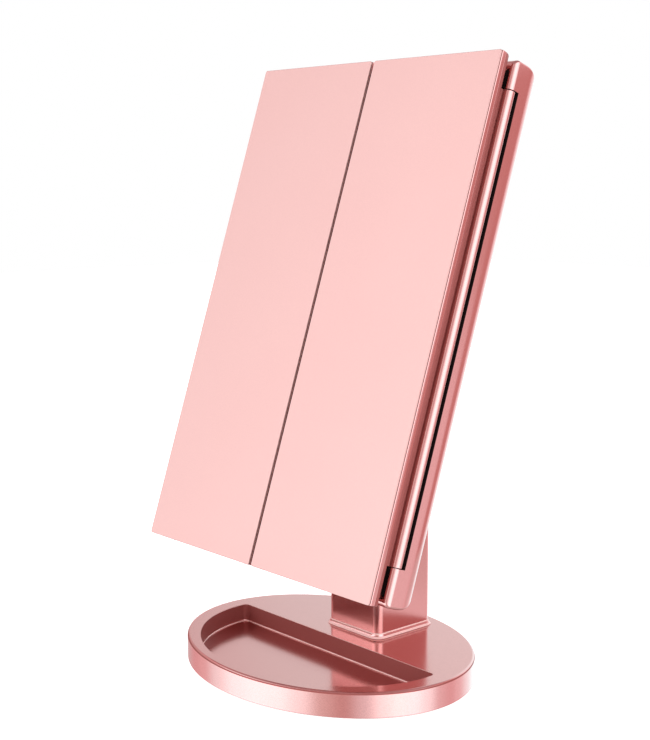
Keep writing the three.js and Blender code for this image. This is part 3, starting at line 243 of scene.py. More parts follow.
def plate(name, x, z, depth, corner=1, edge=0.2, steps=8):
    """A flat plate in the head's frame, with rounded corners and edges."""
    outline = rectangle((x[0] + corner, x[1] - corner), (z[0] + corner, z[1] - corner), steps)
    profile = round_in(depth[0], corner, edge, 3) + round_out(depth[1], corner, edge, 3)
    return skin(name, backward(outline, profile))


def block(name, x, z, depth, corner=0.5):
    """A plate with nearly sharp edges, to cut or to join with."""
    return plate(name, x, z, depth, corner, edge=0.05, steps=2)


# %% [markdown]
# ## Finishes
# Nearly everything that shows wears the same metallic rose paint: fine bright flakes in a clear coat, which
# mirrors its surroundings softly. On the post it is a little duller, and the wings' covers are satin. Two
# more tones of it are painted light for narrow places: a pale one is a painted highlight on sharp edges, and
# a dark one is painted shade on faces that look into a gap. In each finish the colour, the roughness and a
# slight bump come from noise at the real grain's size, so nothing is one flat colour.


# %% A finish with grain
finishes = {}


CLOUD = 14  # the broad noise's scale, per metre
BUMP_DEPTH = 0.0002  # metres


def finish(
    name, colour, metallic, roughness, vary=0.06, grain=1500, rough_vary=0.05, bump=0.02, stretch=(1, 1, 1)
):
    """A material whose colour, roughness and bump vary with noise. grain is the noise's scale, per metre."""
    made = bpy.data.materials.new(name)
    made.use_nodes = True
    nodes, links = made.node_tree.nodes, made.node_tree.links
    shader = nodes["Principled BSDF"]
    shader.inputs["Metallic"].default_value = metallic
    place = nodes.new("ShaderNodeTexCoord")
    mapping = nodes.new("ShaderNodeMapping")
    mapping.inputs["Scale"].default_value = stretch
    links.new(place.outputs["Object"], mapping.inputs["Vector"])
    fine = nodes.new("ShaderNodeTexNoise")
    fine.inputs["Scale"].default_value = grain
    fine.inputs["Detail"].default_value = 3
    links.new(mapping.outputs["Vector"], fine.inputs["Vector"])
    cloud = nodes.new("ShaderNodeTexNoise")
    cloud.inputs["Scale"].default_value = CLOUD
    links.new(place.outputs["Object"], cloud.inputs["Vector"])
    ramp = nodes.new("ShaderNodeValToRGB")
    ramp.color_ramp.elements[0].position = 0.3
    ramp.color_ramp.elements[1].position = 0.7
    ramp.color_ramp.elements[0].color = (*[c * (1 - vary) for c in colour], 1)
    ramp.color_ramp.elements[1].color = (*[min(1, c * (1 + vary)) for c in colour], 1)
    links.new(fine.outputs["Fac"], ramp.inputs["Fac"])
    links.new(ramp.outputs["Color"], shader.inputs["Base Color"])
    spread = nodes.new("ShaderNodeMapRange")
    spread.inputs["To Min"].default_value = max(0.01, roughness - rough_vary)
    spread.inputs["To Max"].default_value = roughness + rough_vary
    links.new(cloud.outputs["Fac"], spread.inputs["Value"])
    links.new(spread.outputs["Result"], shader.inputs["Roughness"])
    relief = nodes.new("ShaderNodeBump")
    relief.inputs["Strength"].default_value = bump
    relief.inputs["Distance"].default_value = BUMP_DEPTH
    links.new(fine.outputs["Fac"], relief.inputs["Height"])
    links.new(relief.outputs["Normal"], shader.inputs["Normal"])
    finishes[name] = made
    return shader


# %% The finishes
ROSE = (0.68, 0.36, 0.345)
rose = finish("rose_paint", ROSE, metallic=1, roughness=0.16, vary=0.05, rough_vary=0.03)
rose.inputs["Coat Weight"].default_value = 0.2
rose.inputs["Coat Roughness"].default_value = 0.12
finish("rose_soft", ROSE, metallic=1, roughness=0.21, vary=0.05, rough_vary=0.03)
finish("rose_satin", (0.605, 0.348, 0.327), metallic=0.6, roughness=0.34, vary=0.02)
# A pale, nearly matte rose: painted highlight for the sharp edges.
finish("rose_painted_highlight", (0.95, 0.62, 0.585), metallic=0.1, roughness=0.35, vary=0.04)
# A dark rose: painted shade for faces that look into a corner or a gap.
deep = finish("rose_painted_shade", (0.31, 0.08, 0.072), metallic=0.3, roughness=0.5)
deep.inputs["Specular IOR Level"].default_value = 0.2
finish("mirror_glass", (0.92, 0.94, 0.94), metallic=1, roughness=0.03, vary=0.01, rough_vary=0.015, bump=0)
finish("frosted_strip", (0.93, 0.92, 0.90), metallic=0, roughness=0.55, vary=0.02, grain=2500)
finish("white_plastic", (0.85, 0.83, 0.80), metallic=0, roughness=0.5, vary=0.03)
dull = finish("black_plastic", (0.010, 0.006, 0.006), metallic=0, roughness=0.6, vary=0.3, bump=0.15)
dull.inputs["Specular IOR Level"].default_value = 0.12
finish("steel", (0.56, 0.56, 0.57), metallic=1, roughness=0.3, vary=0.1, grain=900, stretch=(1, 1, 0.06))
finish("pad_rubber", (0.025, 0.023, 0.023), metallic=0, roughness=0.8, vary=0.25, bump=0.2)
finish("board_green", (0.02, 0.12, 0.06), metallic=0.1, roughness=0.4, vary=0.2, grain=500)
finish("board_white", (0.80, 0.80, 0.76), metallic=0, roughness=0.45, vary=0.04)
finish("nickel", (0.62, 0.59, 0.54), metallic=1, roughness=0.25, vary=0.08)
finish("sensor_copper", (0.70, 0.38, 0.22), metallic=1, roughness=0.35, vary=0.1)
finish("cell_can", (0.035, 0.038, 0.045), metallic=0.2, roughness=0.35, vary=0.15)
print("finishes:", ", ".join(finishes))


# %% The CAD pieces that stay get their finish too
def refinish():
    """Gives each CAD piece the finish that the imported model's slot names for it."""
    slots = {row["node"]: row["material_slot"] for row in frame["record"]["subparts"]}
    for name, node in frame["nodes"].items():
        node.data.materials.clear()
        node.data.materials.append(finishes[slots[name]])


refinish()


# %% Dress a finished piece
SHARP = math.radians(32)  # edges that turn more than this stay sharp


def dress(piece, place, body, slot, *nodes):
    """Moves a drawing in millimetres to its place in metres, smooths it, and lets it stand for CAD nodes."""
    piece.data.transform(place)
    piece.data.materials.clear()
    piece.data.materials.append(finishes[slot])
    piece.data.polygons.foreach_set("use_smooth", [True] * len(piece.data.polygons))
    piece.data.set_sharp_from_angle(angle=SHARP)
    even = piece.modifiers.new("even", "WEIGHTED_NORMAL")
    even.keep_sharp = True
    applied(piece)
    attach(piece, body)
    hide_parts(*nodes)
    print(piece.name, "stands for", ", ".join(nodes), "with", len(piece.data.polygons), "faces")
    return piece


# %% [markdown]
# ## Faces with painted light
# The slots behind the hinge barrels and the wings' fronts under their covers get the dark plastic as painted
# shade. They show only as thin dark lines, and those lines separate the parts from each other. Faces that
# look into a corner or a gap mirror little but the paint beside them. They get a dark rose as painted shade:
# the tray's wall, a thin line under the foot's upper edge, the rear of each wing's flank and the inner side
# of its barrel. The sharp moulded edges of the tray and of the post's foot get a pale rose as a painted
# highlight, and they show as thin light lines.


# %% A second finish on the faces whose middles pass a test
def second_finish(piece, place, name, test):
    """Gives this finish to the faces that pass. place is the matrix that took the drawing to its place."""
    piece.data.materials.append(finishes[name])
    to_drawing = place.inverted()
    chosen = [face for face in piece.data.polygons if test(to_drawing @ face.center)]
    for face in chosen:
        face.material_index = len(piece.data.materials) - 1
    print(piece.name, "has", name, "on", len(chosen), "faces")


# %% [markdown]
# ## The oval foot and its tray
# One moulding: an oval drum whose top carries a half-oval tray with a straight back. Cutting the tray out
# with a boolean would leave ragged shading on the flat top. Instead the top is one band of faces from the
# foot's edge to the tray's mouth, so each point of the tray's outline is paired with the point of the oval
# that lies behind it, seen from the middle of the tray.

# %% Outlines of the tray and the foot, point for point
FOOT = (89.5, 71.7)  # half width and half depth
FOOT_TOP = 14.3
FOOT_BOTTOM = 0.6
WALL = 2.2
TRAY_RIM = (10.5, 5.5)  # beside the tray and in front of it
TRAY_CORNER = 3
TRAY_BACK = 4.4
TRAY_FLOOR = 3.9
TRAY_MIDDLE = Vector((0, -25))
FRONT_STEPS, CORNER_STEPS, BACK_STEPS = 160, 12, 110


def oval_point(half, angle):
    """A point of the oval with these half widths, and the direction straight out of it."""
    x, y = half[0] * math.cos(angle), half[1] * math.sin(angle)
    out = Vector((x / half[0] ** 2, y / half[1] ** 2)).normalized()
    return x, y, out.x, out.y


def tray_outline():
    """The half oval with its straight back, smaller by the corner radius that its rings add again."""
    half = (FOOT[0] - TRAY_RIM[0] - TRAY_CORNER, FOOT[1] - TRAY_RIM[1] - TRAY_CORNER)
    back = TRAY_BACK - TRAY_CORNER
    start = math.pi - math.asin(back / half[1])
    sweep = 2 * (1.5 * math.pi - start)
    front = [oval_point(half, start + sweep * i / FRONT_STEPS) for i in range(FRONT_STEPS + 1)]
    right = front[-1]
    right_turn = math.atan2(right[3], right[2])
    rise = math.pi / 2 - right_turn
    steps = range(1, CORNER_STEPS + 1)
    right_corner = [(*right[:2], *turned(right_turn + rise * i / CORNER_STEPS)) for i in steps]
    left_corner = [(-x, y, -nx, ny) for x, y, nx, ny in reversed(right_corner)]
    edge = math.atan2(back - TRAY_MIDDLE.y, right[0])
    sights = [edge + (math.pi - 2 * edge) * i / BACK_STEPS for i in range(1, BACK_STEPS)]
    straight = [((back - TRAY_MIDDLE.y) / math.tan(sight), back, 0, 1) for sight in sights]
    return front + right_corner + straight + left_corner


def foot_outline(tray):
    """For each point of the tray's outline, the oval's point in the same direction from the tray's middle.

    The reach from the middle to the oval is the root of a * reach ** 2 + b * reach + c = 0.
    """
    points = []
    for x, y in grown(tray, TRAY_CORNER):
        way = (Vector((x, y)) - TRAY_MIDDLE).normalized()
        a = (way.x / FOOT[0]) ** 2 + (way.y / FOOT[1]) ** 2
        b = 2 * way.y * TRAY_MIDDLE.y / FOOT[1] ** 2
        c = (TRAY_MIDDLE.y / FOOT[1]) ** 2 - 1
        reach = (-b + math.sqrt(b * b - 4 * a * c)) / (2 * a)
        at = TRAY_MIDDLE + way * reach
        points.append(oval_point(FOOT, math.atan2(at.y / FOOT[1], at.x / FOOT[0])))
    return points


tray = tray_outline()
foot = foot_outline(tray)
print("tray outline:", len(tray), "points")

# %% The foot's skin: underside, outer wall, edge round, flat top, the tray's mouth, wall and floor
TRAY_THICK = (1.6, 1.2)  # its wall and its base
MOUTH_ROUND = 0.6
COVE_ROUND = 0.8
EDGE_ROUND = 1.6
tray_outside = TRAY_CORNER + TRAY_THICK[0]
under = upright(tray, [(TRAY_FLOOR - TRAY_THICK[1], tray_outside), (FOOT_TOP - WALL, tray_outside)])
inside = upright(foot, [(FOOT_TOP - WALL, -WALL), (FOOT_BOTTOM, -WALL)])
outside = upright(foot, round_in(FOOT_BOTTOM, 0, 0.4, 3) + round_out(FOOT_TOP, 0, EDGE_ROUND, 10))
mouth = [(FOOT_TOP - drop, TRAY_CORNER + out) for drop, out in round_in(0, MOUTH_ROUND, MOUTH_ROUND, 8)]
cove = round_in(TRAY_FLOOR, TRAY_CORNER, COVE_ROUND, 8)[::-1]
foot_shell = skin("foot_shell", under + inside + outside + upright(tray, mouth + cove))
dress(foot_shell, STAND, "stand", "rose_paint", "stand_shell")

# %% Painted highlights on the tray's edges, painted shade on its wall and in a line under the foot's upper edge
EDGE_BAND = 3  # what is nearer to the foot's edge than this isn't in the tray


def in_tray(at):
    """Well inside the foot's edge and in front of the tray's back."""
    inside_edge = math.hypot(at.x / (FOOT[0] - EDGE_BAND), at.y / (FOOT[1] - EDGE_BAND)) < 1
    return inside_edge and at.y < TRAY_BACK + MOUTH_ROUND + 0.01


def on_tray_edge(at):
    """On the round of the tray's mouth, or on the lower part of the round at its floor."""
    on_mouth = FOOT_TOP - MOUTH_ROUND < at.z < FOOT_TOP - 0.005
    return in_tray(at) and (on_mouth or TRAY_FLOOR + 0.08 < at.z < TRAY_FLOOR + 0.5)


def on_tray_wall(at):
    """On the tray's upright wall, between its two rounds."""
    return in_tray(at) and TRAY_FLOOR + COVE_ROUND < at.z < FOOT_TOP - MOUTH_ROUND


def under_foot_edge(at):
    """On the lower part of the round at the foot's upper edge."""
    return 0.75 < FOOT_TOP - at.z < 1.4 and not in_tray(at)


# Painted highlight on the tray's edges; painted shade on its wall and in a line under the foot's upper edge.
second_finish(foot_shell, STAND, "rose_painted_highlight", on_tray_edge)
second_finish(foot_shell, STAND, "rose_painted_shade", on_tray_wall)
second_finish(foot_shell, STAND, "rose_painted_shade", under_foot_edge)

# %% [markdown]
# ## The square post
# The post is one moulding with a flared foot that laps the stand. Its outline is a rounded square. The flare
# is just growth that gets less on the way up, and it ends in a tiny step that catches the light as a thin
# line, and a painted highlight on the step and on the flare's lower round adds to that. A strip closes the
# moulding's rear, in a shallow seat. The post's paint is a little duller than the foot's.

# %% Post with its foot moulding
POST_CORNER = 4.5
POST_CORE = 16.2  # half its width, less the corner's radius
POST_TOP = AXLE.z - 13
POST_DEPTH = (18.7, 61.5)
MOULDING = [  # rise and growth
    (0, 1.45), (0.12, 1.62), (0.3, 1.7), (0.45, 1.62), (0.6, 1.45), (0.9, 1.16), (1.25, 0.9), (1.6, 0.7),
    (2, 0.53), (2.4, 0.42), (2.7, 0.38), (2.85, 0.3), (2.95, 0.16), (3, 0),
]
post = rectangle((-POST_CORE, POST_CORE), (POST_DEPTH[0] + POST_CORNER, POST_DEPTH[1] - POST_CORNER), 12)
moulding = [(FOOT_TOP + rise, POST_CORNER + out) for rise, out in MOULDING]
post_shell = skin("post_shell", upright(post, moulding + round_out(POST_TOP, POST_CORNER, 1.5, 6)))
STRIP_SEAT = (POST_DEPTH[1] - 2.3, POST_DEPTH[1] + 1)
carve(post_shell, plate("strip_seat", (-14, 14), (FOOT_TOP + 9, POST_TOP - 9), STRIP_SEAT, edge=0.05))
dress(post_shell, STAND, "stand", "rose_paint", "post_shell")
post_shell.data.materials[0] = finishes["rose_soft"]


def on_moulding_edge(at):
    """On the moulding's lower round, or on the tiny step that ends it."""
    rise = at.z - FOOT_TOP
    return 0.1 < rise < 1.3 or 2.3 < rise < 3


# Painted highlight on the moulding's lower round and on its step.
second_finish(post_shell, STAND, "rose_painted_highlight", on_moulding_edge)

# %% Rear strip
STRIP = (POST_DEPTH[1] - 2.2, POST_DEPTH[1])
STRIP_SPAN = (FOOT_TOP + 9.3, POST_TOP - 9.3)
rear_strip = plate("post_rear_strip", (-13.7, 13.7), STRIP_SPAN, STRIP, corner=0.8, edge=0.35)
dress(rear_strip, STAND, "stand", "rose_paint", "post_rear_cover")

# %% [markdown]
# ## The tilt joint
# A tongue stands on the post's top between two steel ears, with a rubber washer at each side. The axle's
# friction holds the head at any tilt. The tongue's outline is seen from the side, so its rings run across.

# %% Tongue on its seat
SEAT_TOP = POST_TOP + 3
TONGUE = 8.5  # the radius of its round end
BORE = 2.8  # the radius of the hole for the axle
side_view = [(AXLE.y - TONGUE, SEAT_TOP - 1.5), (AXLE.y + 16.5, SEAT_TOP - 1.5), (AXLE.y + 16.5, SEAT_TOP)]
tongue_turn = [turned(math.pi * i / 24) for i in range(25)]
side_view += [(AXLE.y + TONGUE * c, AXLE.z + TONGUE * s) for c, s in tongue_turn]
tongue = skin("knuckle", [[(x, y, z) for y, z in side_view] for x in (-10, 10)])
soften(tongue, 0.6, 3)
seat_outline = rectangle((-12, 12), (POST_DEPTH[0] + 6, POST_DEPTH[1] - 6))
seat_plate = skin("seat_plate", upright(seat_outline, [(POST_TOP, 3)] + round_out(SEAT_TOP, 3, 0.8, 4)))
carve(tongue, seat_plate, how="UNION")
carve(tongue, skin("bore", across(circle(AXLE.y, AXLE.z), [(-12, BORE), (12, BORE)])))
dress(tongue, STAND, "stand", "rose_paint", "tilt_knuckle")

# %% Bracket with two ears on the head's back
BRACKET = (HEAD_DEPTH + 0.3, HEAD_DEPTH + 2.8)
EAR = 8  # the radius of its round end
bracket = plate("bracket", (-27, 27), (AXLE_UP - 10.5, AXLE_UP + 13), BRACKET, corner=3, edge=0.4)
ear_view = [(BRACKET[0] + 1.25, AXLE_UP + EAR), (BRACKET[0] + 1.25, AXLE_UP - EAR)]
ear_turn = [turned(math.pi * (i / 24 - 0.5)) for i in range(25)]
ear_view += [(AXLE_DEPTH + EAR * c, AXLE_UP + EAR * s) for c, s in ear_turn]
for side in (-1, 1):
    ear = skin("ear", [[(side * x, y, z) for y, z in ear_view] for x in (11.6, 16.6)])
    soften(ear, 0.5, 2)
    carve(bracket, ear, how="UNION")
carve(bracket, skin("bore", across(circle(AXLE_DEPTH, AXLE_UP), [(-20, BORE), (20, BORE)])))
dress(bracket, HEAD, "head", "steel", "pivot_bracket")

# %% Turned parts: axle, nut and washers
def lathe(name, profile, steps=40, ends="faces"):
    """Turns a profile of (radius, height) about the vertical."""
    return skin(name, upright(circle(0, 0, steps), [(height, radius) for radius, height in profile]), ends)


ON_AXLE = Matrix.Translation((0, AXLE_DEPTH, AXLE_UP)) @ Matrix.Rotation(math.pi / 2, 4, "Y")
axle_profile = [(3.6, -18.9), (4.1, -18.78), (4.4, -18.45), (4.5, -18.1), (4.5, -16.9), (2.5, -16.9)]
axle = lathe("axle", axle_profile + [(2.5, 18.9), (2.2, 19.2)])
dress(axle, HEAD @ ON_AXLE, "head", "steel", "tilt_axle")
nut = skin("nut", upright(circle(0, 0, 6), [(16.9, 4.1), (17.2, 4.5), (18.6, 4.5), (18.9, 4.1)]))
carve(nut, lathe("bore", [(BORE, 16), (BORE, 20)]))
dress(nut, HEAD @ ON_AXLE, "head", "steel", "tilt_nut")
for hand, side in (("left", -1), ("right", 1)):
    rim = [(6.8, 10.3), (7, 10.5), (7, 11.1), (6.8, 11.3)]
    washer = lathe("washer_" + hand, rim + [(BORE, 11.3), (BORE, 10.3)], ends="loop")
    turn = Matrix.Translation(AXLE) @ Matrix.Rotation(side * math.pi / 2, 4, "Y")
    dress(washer, STAND @ turn, "stand", "pad_rubber", "friction_washer_" + hand)

# %% [markdown]
# ## The head's frame
# A picture frame of plastic whose front edge turns in a large round and whose back edge turns in a flatter
# one. One section carried round the rectangle makes it, with the section's growth given apart for the sides
# and the ends, because the back narrows more at the top and bottom than at the sides.

# %% Frame
FRAME_FRONT = 12.1
SIDE_ROUND = (8.7, 5)  # how deep and how wide the back's round is at the sides
END_ROUND = (11, 7.9)  # and at the top and bottom
LEDGE_FRONT = 20.3
frame_outline = mitred((-HALF, HALF), (0, HEAD_HEIGHT), 1.5, 6)
front_round = [(depth, out, out) for depth, out in round_in(FRAME_FRONT, 0, 3.4, 12)]


def back_inset(depth, deep, wide):
    """How far the back's round has come in at this depth, on a quarter oval."""
    done = max(0, 1 - (HEAD_DEPTH - depth) / deep)
    return -wide * (1 - math.sqrt(1 - done * done))


back_depths = [HEAD_DEPTH - END_ROUND[0] * (1 - math.sin(math.pi / 2 * i / 16)) for i in range(17)]
back_round = [
    (depth, back_inset(depth, *SIDE_ROUND), back_inset(depth, *END_ROUND)) for depth in back_depths
]
inner_edge = [(FRAME_FRONT + 0.3, -9.9, -7.6), (FRAME_FRONT + 0.09, -9.81, -7.51), (FRAME_FRONT, -9.6, -7.3)]
plate_step = [(HEAD_DEPTH, -8.2, -8.2), (HEAD_DEPTH - 0.3, -8.5, -8.5), (HEAD_DEPTH - 2.5, -8.5, -8.5)]
ledge = [(HEAD_DEPTH - 2.5, -12.9, -10.6), (LEDGE_FRONT, -12.9, -10.6), (LEDGE_FRONT, -9.9, -7.6)]
section = inner_edge + front_round + back_round + plate_step + ledge
head_ring = skin("head_ring", backward(frame_outline, section), ends="loop")

# %% Slots for the hinge barrels, cut with slightly rounded corners
SLOT = (19.7, 263.4)
SLOT_INSIDE = 84.1
SLOT_DEPTH = (8, 19.2)
for side in (-1, 1):
    across_slot = sorted((side * SLOT_INSIDE, side * 95))
    carve(head_ring, block("slot", across_slot, SLOT, SLOT_DEPTH, corner=0.3))
dress(head_ring, HEAD, "head", "rose_paint", "head_frame")


def in_slot(at):
    """On a face of a slot, and not on the frame's side."""
    on_span = SLOT[0] - 0.1 < at.z < SLOT[1] + 0.1 and SLOT_DEPTH[0] < at.y < SLOT_DEPTH[1] + 0.1
    return on_span and SLOT_INSIDE - 0.2 < abs(at.x) < HALF - 0.1


# The slots' faces get the dark plastic as painted shade.
second_finish(head_ring, HEAD, "black_plastic", in_slot)

# %% [markdown]
# ## The wings
# Each wing is a shallow tray of the same paint with a satin cover on its front and mirrors inside. Its outer
# side bulges and runs back into the hinge barrel. The wing's section is drawn from above and carried
# upwards, and the glass pockets are cut into its back.

# %% Wing section, and the places on it that get painted shade
WING_FRONT, WING_BACK = 1.1, 9.9
WING_ROUND = 0.6
FLANK = (80.5, 1.7)  # the middle of the flank's bulge, across and deep
FLANK_RADIUS = 11
HINGE = (88.1, 15.5)
BARREL = 3.4
BARREL_SPAN = (20.0, 263.1)


def wing_section(side):
    """The wing from above, as (x, depth): a small front round, then the bulging flank."""
    front_turn = [turned(math.pi / 2 * (i / 6 - 1)) for i in range(6)]
    front = [(HALF - WING_ROUND + WING_ROUND * c, FLANK[1] + WING_ROUND * s) for c, s in front_turn]
    last = math.asin((WING_BACK - FLANK[1]) / FLANK_RADIUS)
    flank_turn = [turned(last * i / 14) for i in range(15)]
    flank = [(FLANK[0] + FLANK_RADIUS * c, FLANK[1] + FLANK_RADIUS * s) for c, s in flank_turn]
    return [(side * x, y) for x, y in [(1, WING_FRONT)] + front + flank + [(1, WING_BACK)]]


def under_cover(at):
    """On the wing's front, where it shows only as a line round the cover."""
    return at.y < WING_FRONT + 0.1 and 0.5 < at.z < HEAD_HEIGHT - 0.5


def on_flank_rear(at):
    """On the rear of the bulging flank, or on the neck behind it."""
    on_bulge = math.hypot(abs(at.x) - FLANK[0], at.y - FLANK[1]) > FLANK_RADIUS - 0.3
    on_flank = on_bulge and 4.6 < at.y < WING_BACK - 0.02
    on_neck = WING_BACK + 0.05 < at.y < 12.3
    return abs(at.x) > 84.6 and (on_flank or on_neck)


def on_barrel_front(at):
    """On the part of the barrel, or of its neck, that looks at the wing."""
    out, forward = abs(at.x) - HINGE[0], HINGE[1] - at.y
    return math.hypot(out, forward) < BARREL + 0.1 and math.atan2(out, forward) < math.radians(17)


# %% Wing frames
POCKET = (4.5, 84.33)


def wing(name, side, body, node, pockets):
    """A wing's frame with its barrel; the pockets are the glasses' spans in z."""
    rings = [[(x, y, z) for x, y in wing_section(side)] for z in (0, HEAD_HEIGHT)]
    made = soften(skin(name, rings), 0.35, segments=3, angle=40)
    across_pocket = sorted((side * POCKET[0], side * POCKET[1]))
    for span in pockets:
        carve(made, block("pocket", across_pocket, span, (7.6, 12), corner=0.6))
    neck_turn = [turned(math.radians(angle)) for angle in (-105, -135)]
    on_barrel = [(HINGE[0] + BARREL * c, HINGE[1] + BARREL * s) for c, s in neck_turn]
    neck = [(84.63, 8.9), (86.43, 8.9), (86.43, 9.9), on_barrel[0], HINGE, on_barrel[1]]
    neck_piece = skin("neck", [[(side * x, y, z) for x, y in neck] for z in BARREL_SPAN])
    barrel_ends = round_in(BARREL_SPAN[0], BARREL, 0.4, 3) + round_out(BARREL_SPAN[1], BARREL, 0.4, 3)
    barrel_piece = skin("barrel", upright(circle(side * HINGE[0], HINGE[1], 64), barrel_ends))
    carve(made, neck_piece, barrel_piece, how="UNION")
    dress(made, HEAD, body, "rose_paint", node)
    # Painted shade: dark plastic on the wing's front under the cover, seen in the gap round it.
    second_finish(made, HEAD, "black_plastic", under_cover)
    # Painted shade: dark rose on the flank's rear, the neck behind it and the barrel's inner side.
    second_finish(made, HEAD, "rose_painted_shade", on_flank_rear)
    second_finish(made, HEAD, "rose_painted_shade", on_barrel_front)


wing("left_wing", -1, "left_wing", "left_wing_frame", [(3.5, 137.5), (141.5, 275.5)])
wing("right_wing", 1, "right_wing", "right_wing_frame", [(3.5, 275.5)])

# %% Covers and mirrors
def front_cover(hand, side):
    """The satin cover that makes up a wing's front."""
    span = sorted((side * 1, side * HALF))
    cover = plate(hand + "_cover", span, (0, HEAD_HEIGHT), (0, 0.8), corner=1.2, edge=0.3)
    return dress(cover, HEAD, hand + "_wing", "rose_satin", hand + "_wing_cover")


def glass(name, x, z, depth, body, node):
    """A mirror, silvered all over for simplicity."""
    return dress(plate(name, x, z, depth, corner=0.8, edge=0.4), HEAD, body, "mirror_glass", node)


LEFT_GLASS, RIGHT_GLASS = (-84.03, -4.8), (4.8, 84.03)
WING_GLASS = (7.9, 9.7)  # deep
CENTRE_GLASS = (12.5, 14.3)  # deep
front_cover("left", -1)
front_cover("right", 1)
glass("left_upper_glass", LEFT_GLASS, (141.8, 275.2), WING_GLASS, "left_wing", "left_upper_magnifier")
glass("left_lower_glass", LEFT_GLASS, (3.8, 137.2), WING_GLASS, "left_wing", "left_lower_magnifier")
glass("right_glass", RIGHT_GLASS, (3.8, 275.2), WING_GLASS, "right_wing", "right_wing_mirror")
glass("centre_glass", (-70.4, 70.4), (7.9, 260.2), CENTRE_GLASS, "head", "centre_mirror")

# %% Light strip round three sides of the centre mirror
strip = plate("light_band", (-81.3, 81.3), (7.9, 271.1), CENTRE_GLASS, corner=1.5, edge=0.25)
carve(strip, plate("band_inner", (-70.7, 70.7), (0, 260.5), (10, 16), corner=1, edge=0.05))
dress(strip, HEAD, "head", "frosted_strip", "light_strip")

# %% [markdown]
# ## The back
# A flat plate closes the head. Its raised housing holds the cells, the switch and the charging socket, and a
# door slides up out of two grooves. The plate and the housing are joined first and then hollowed, as a
# moulding is, so the battery bay is really there when the door is off.

# %% Shell of plate and housing
PLATE_FRONT = HEAD_DEPTH - 2.2
HOUSING_BACK = 38.7
HOUSING = (AXLE_UP + 22, 240)
BAY = (178, 238.1)
CONTROL_ROW = 168.5  # the height of the switch and the socket
BRACKET_SCREWS = (-21.8, 21.8)
back_plate = plate("back_plate", (-82.7, 82.7), (8.8, 270.2), (PLATE_FRONT, HEAD_DEPTH), corner=1.2, edge=0.3)
core = rectangle((-32, 32), (HOUSING[0] + 4, HOUSING[1] - 4), 10)
cast = [(PLATE_FRONT, 4), (HEAD_DEPTH, 4)] + round_out(HOUSING_BACK, 4, 1.5, 8)
carve(back_plate, skin("housing", backward(core, cast)), how="UNION")
hollow = plate("hollow", (-33.8, 33.8), (HOUSING[0] + 2.2, HOUSING[1] - 2.2), (28, 35.9), corner=2, edge=0.05)
carve(back_plate, hollow)
bay_box = block("bay_box", (-30.15, 30.15), (BAY[0] - 1.9, 238.5), (20.4, 36.4))


def rod(name, x, z, radius, depth, steps):
    """A round rod that runs back, such as a pillar or a screw boss."""
    return skin(name, backward(circle(x, z, steps), [(depth[0], radius), (depth[1], radius)]))


pillars = [rod("pillar", x, CONTROL_ROW, 2, (HEAD_DEPTH, 37), 24) for x in (-28.5, 4)]
bosses = [rod("boss", x, AXLE_UP, 3, (26, 30.5), 32) for x in BRACKET_SCREWS]
carve(back_plate, bay_box, *pillars, *bosses, how="UNION")

# %% Battery bay, door seat, grooves, switch slot, socket opening and screw sinks
carve(
    back_plate,
    block("bay", (-28.25, 28.25), BAY, (21.5, 39.5)),
    block("door_seat", (-29.55, 29.55), (BAY[0] - 1.3, 245), (36.4, 42), corner=0.3),
    plate("door_groove", (-30.95, 30.95), (BAY[0] - 1.3, 245), (36.4, 38), corner=0.2, edge=0.02, steps=2),
    plate("switch_slot", (-21.7, -15.1), centred(CONTROL_ROW, 2.6), (34, 41), corner=1.2, edge=0.05),
    plate("socket_gap", (32, 40), centred(CONTROL_ROW, 8.2), (31.9, 35.2), corner=0.2, edge=0.05),
)
SINKS = [(x, z) for x in (-74, 74) for z in (15, 264)]
for x, z in SINKS:
    hole = backward(circle(x, z, 40), [(28, 1.8), (31, 1.8), (31, 3.3), (31.9, 3.3), (32.5, 3.9)])
    carve(back_plate, skin("sink", hole))
dress(back_plate, HEAD, "head", "rose_paint", "back_shell")

# %% Battery door with grip ribs
DOOR = (BAY[0] - 1, HOUSING[1])
door = plate("door", (-29.25, 29.25), DOOR, (36.7, HOUSING_BACK), corner=0.6, edge=0.5)
carve(door, plate("door_tongue", (-30.65, 30.65), DOOR, (36.7, 37.7), corner=0.4, edge=0.1), how="UNION")
for i in range(6):
    up = 227 + 1.8 * i
    width = 9 + 1.4 * i
    carve(door, plate("grip", (-width, width), (up, up + 0.8), (38.25, 40), corner=0.38, edge=0.05))
dress(door, HEAD, "battery_door", "rose_paint", "battery_door")

# %% Switch knob with ridges, and the rounded charging socket
knob = plate("knob", (-22.5, -17.5), centred(CONTROL_ROW, 4), (39, 40.3), corner=0.7, edge=0.35)
stem = plate("stem", (-21.4, -18.6), centred(CONTROL_ROW, 2), (35, 39.5), corner=0.3, edge=0.05)
carve(knob, stem, how="UNION")
for x in (-21.2, -20, -18.8):
    carve(knob, block("valley", centred(x, 0.5), centred(CONTROL_ROW, 5), (39.95, 41.5), corner=0.1))
dress(knob, HEAD, "switch_knob", "black_plastic", "switch_knob")
SOCKET = rectangle((33.5, 33.6), centred(CONTROL_ROW, 5))
socket = skin("socket", across(SOCKET, [(29.5, 1.3), (35.3, 1.3), (35.5, 1.1)]))
carve(socket, skin("mouth", across(SOCKET, [(30, 0.8), (36, 0.8)])))
blade = plate("blade", (29.8, 34), centred(CONTROL_ROW, 4.4), (33.35, 33.75), corner=0.3, edge=0.05)
carve(socket, blade, how="UNION")
dress(socket, HEAD, "head", "nickel", "usb_socket")

# %% [markdown]
# ## Screws and pads
# Fasteners are small but they catch the light on the underside and on the back. Each screw is turned from
# one profile, its cross is cut with two thin blocks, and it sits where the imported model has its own.

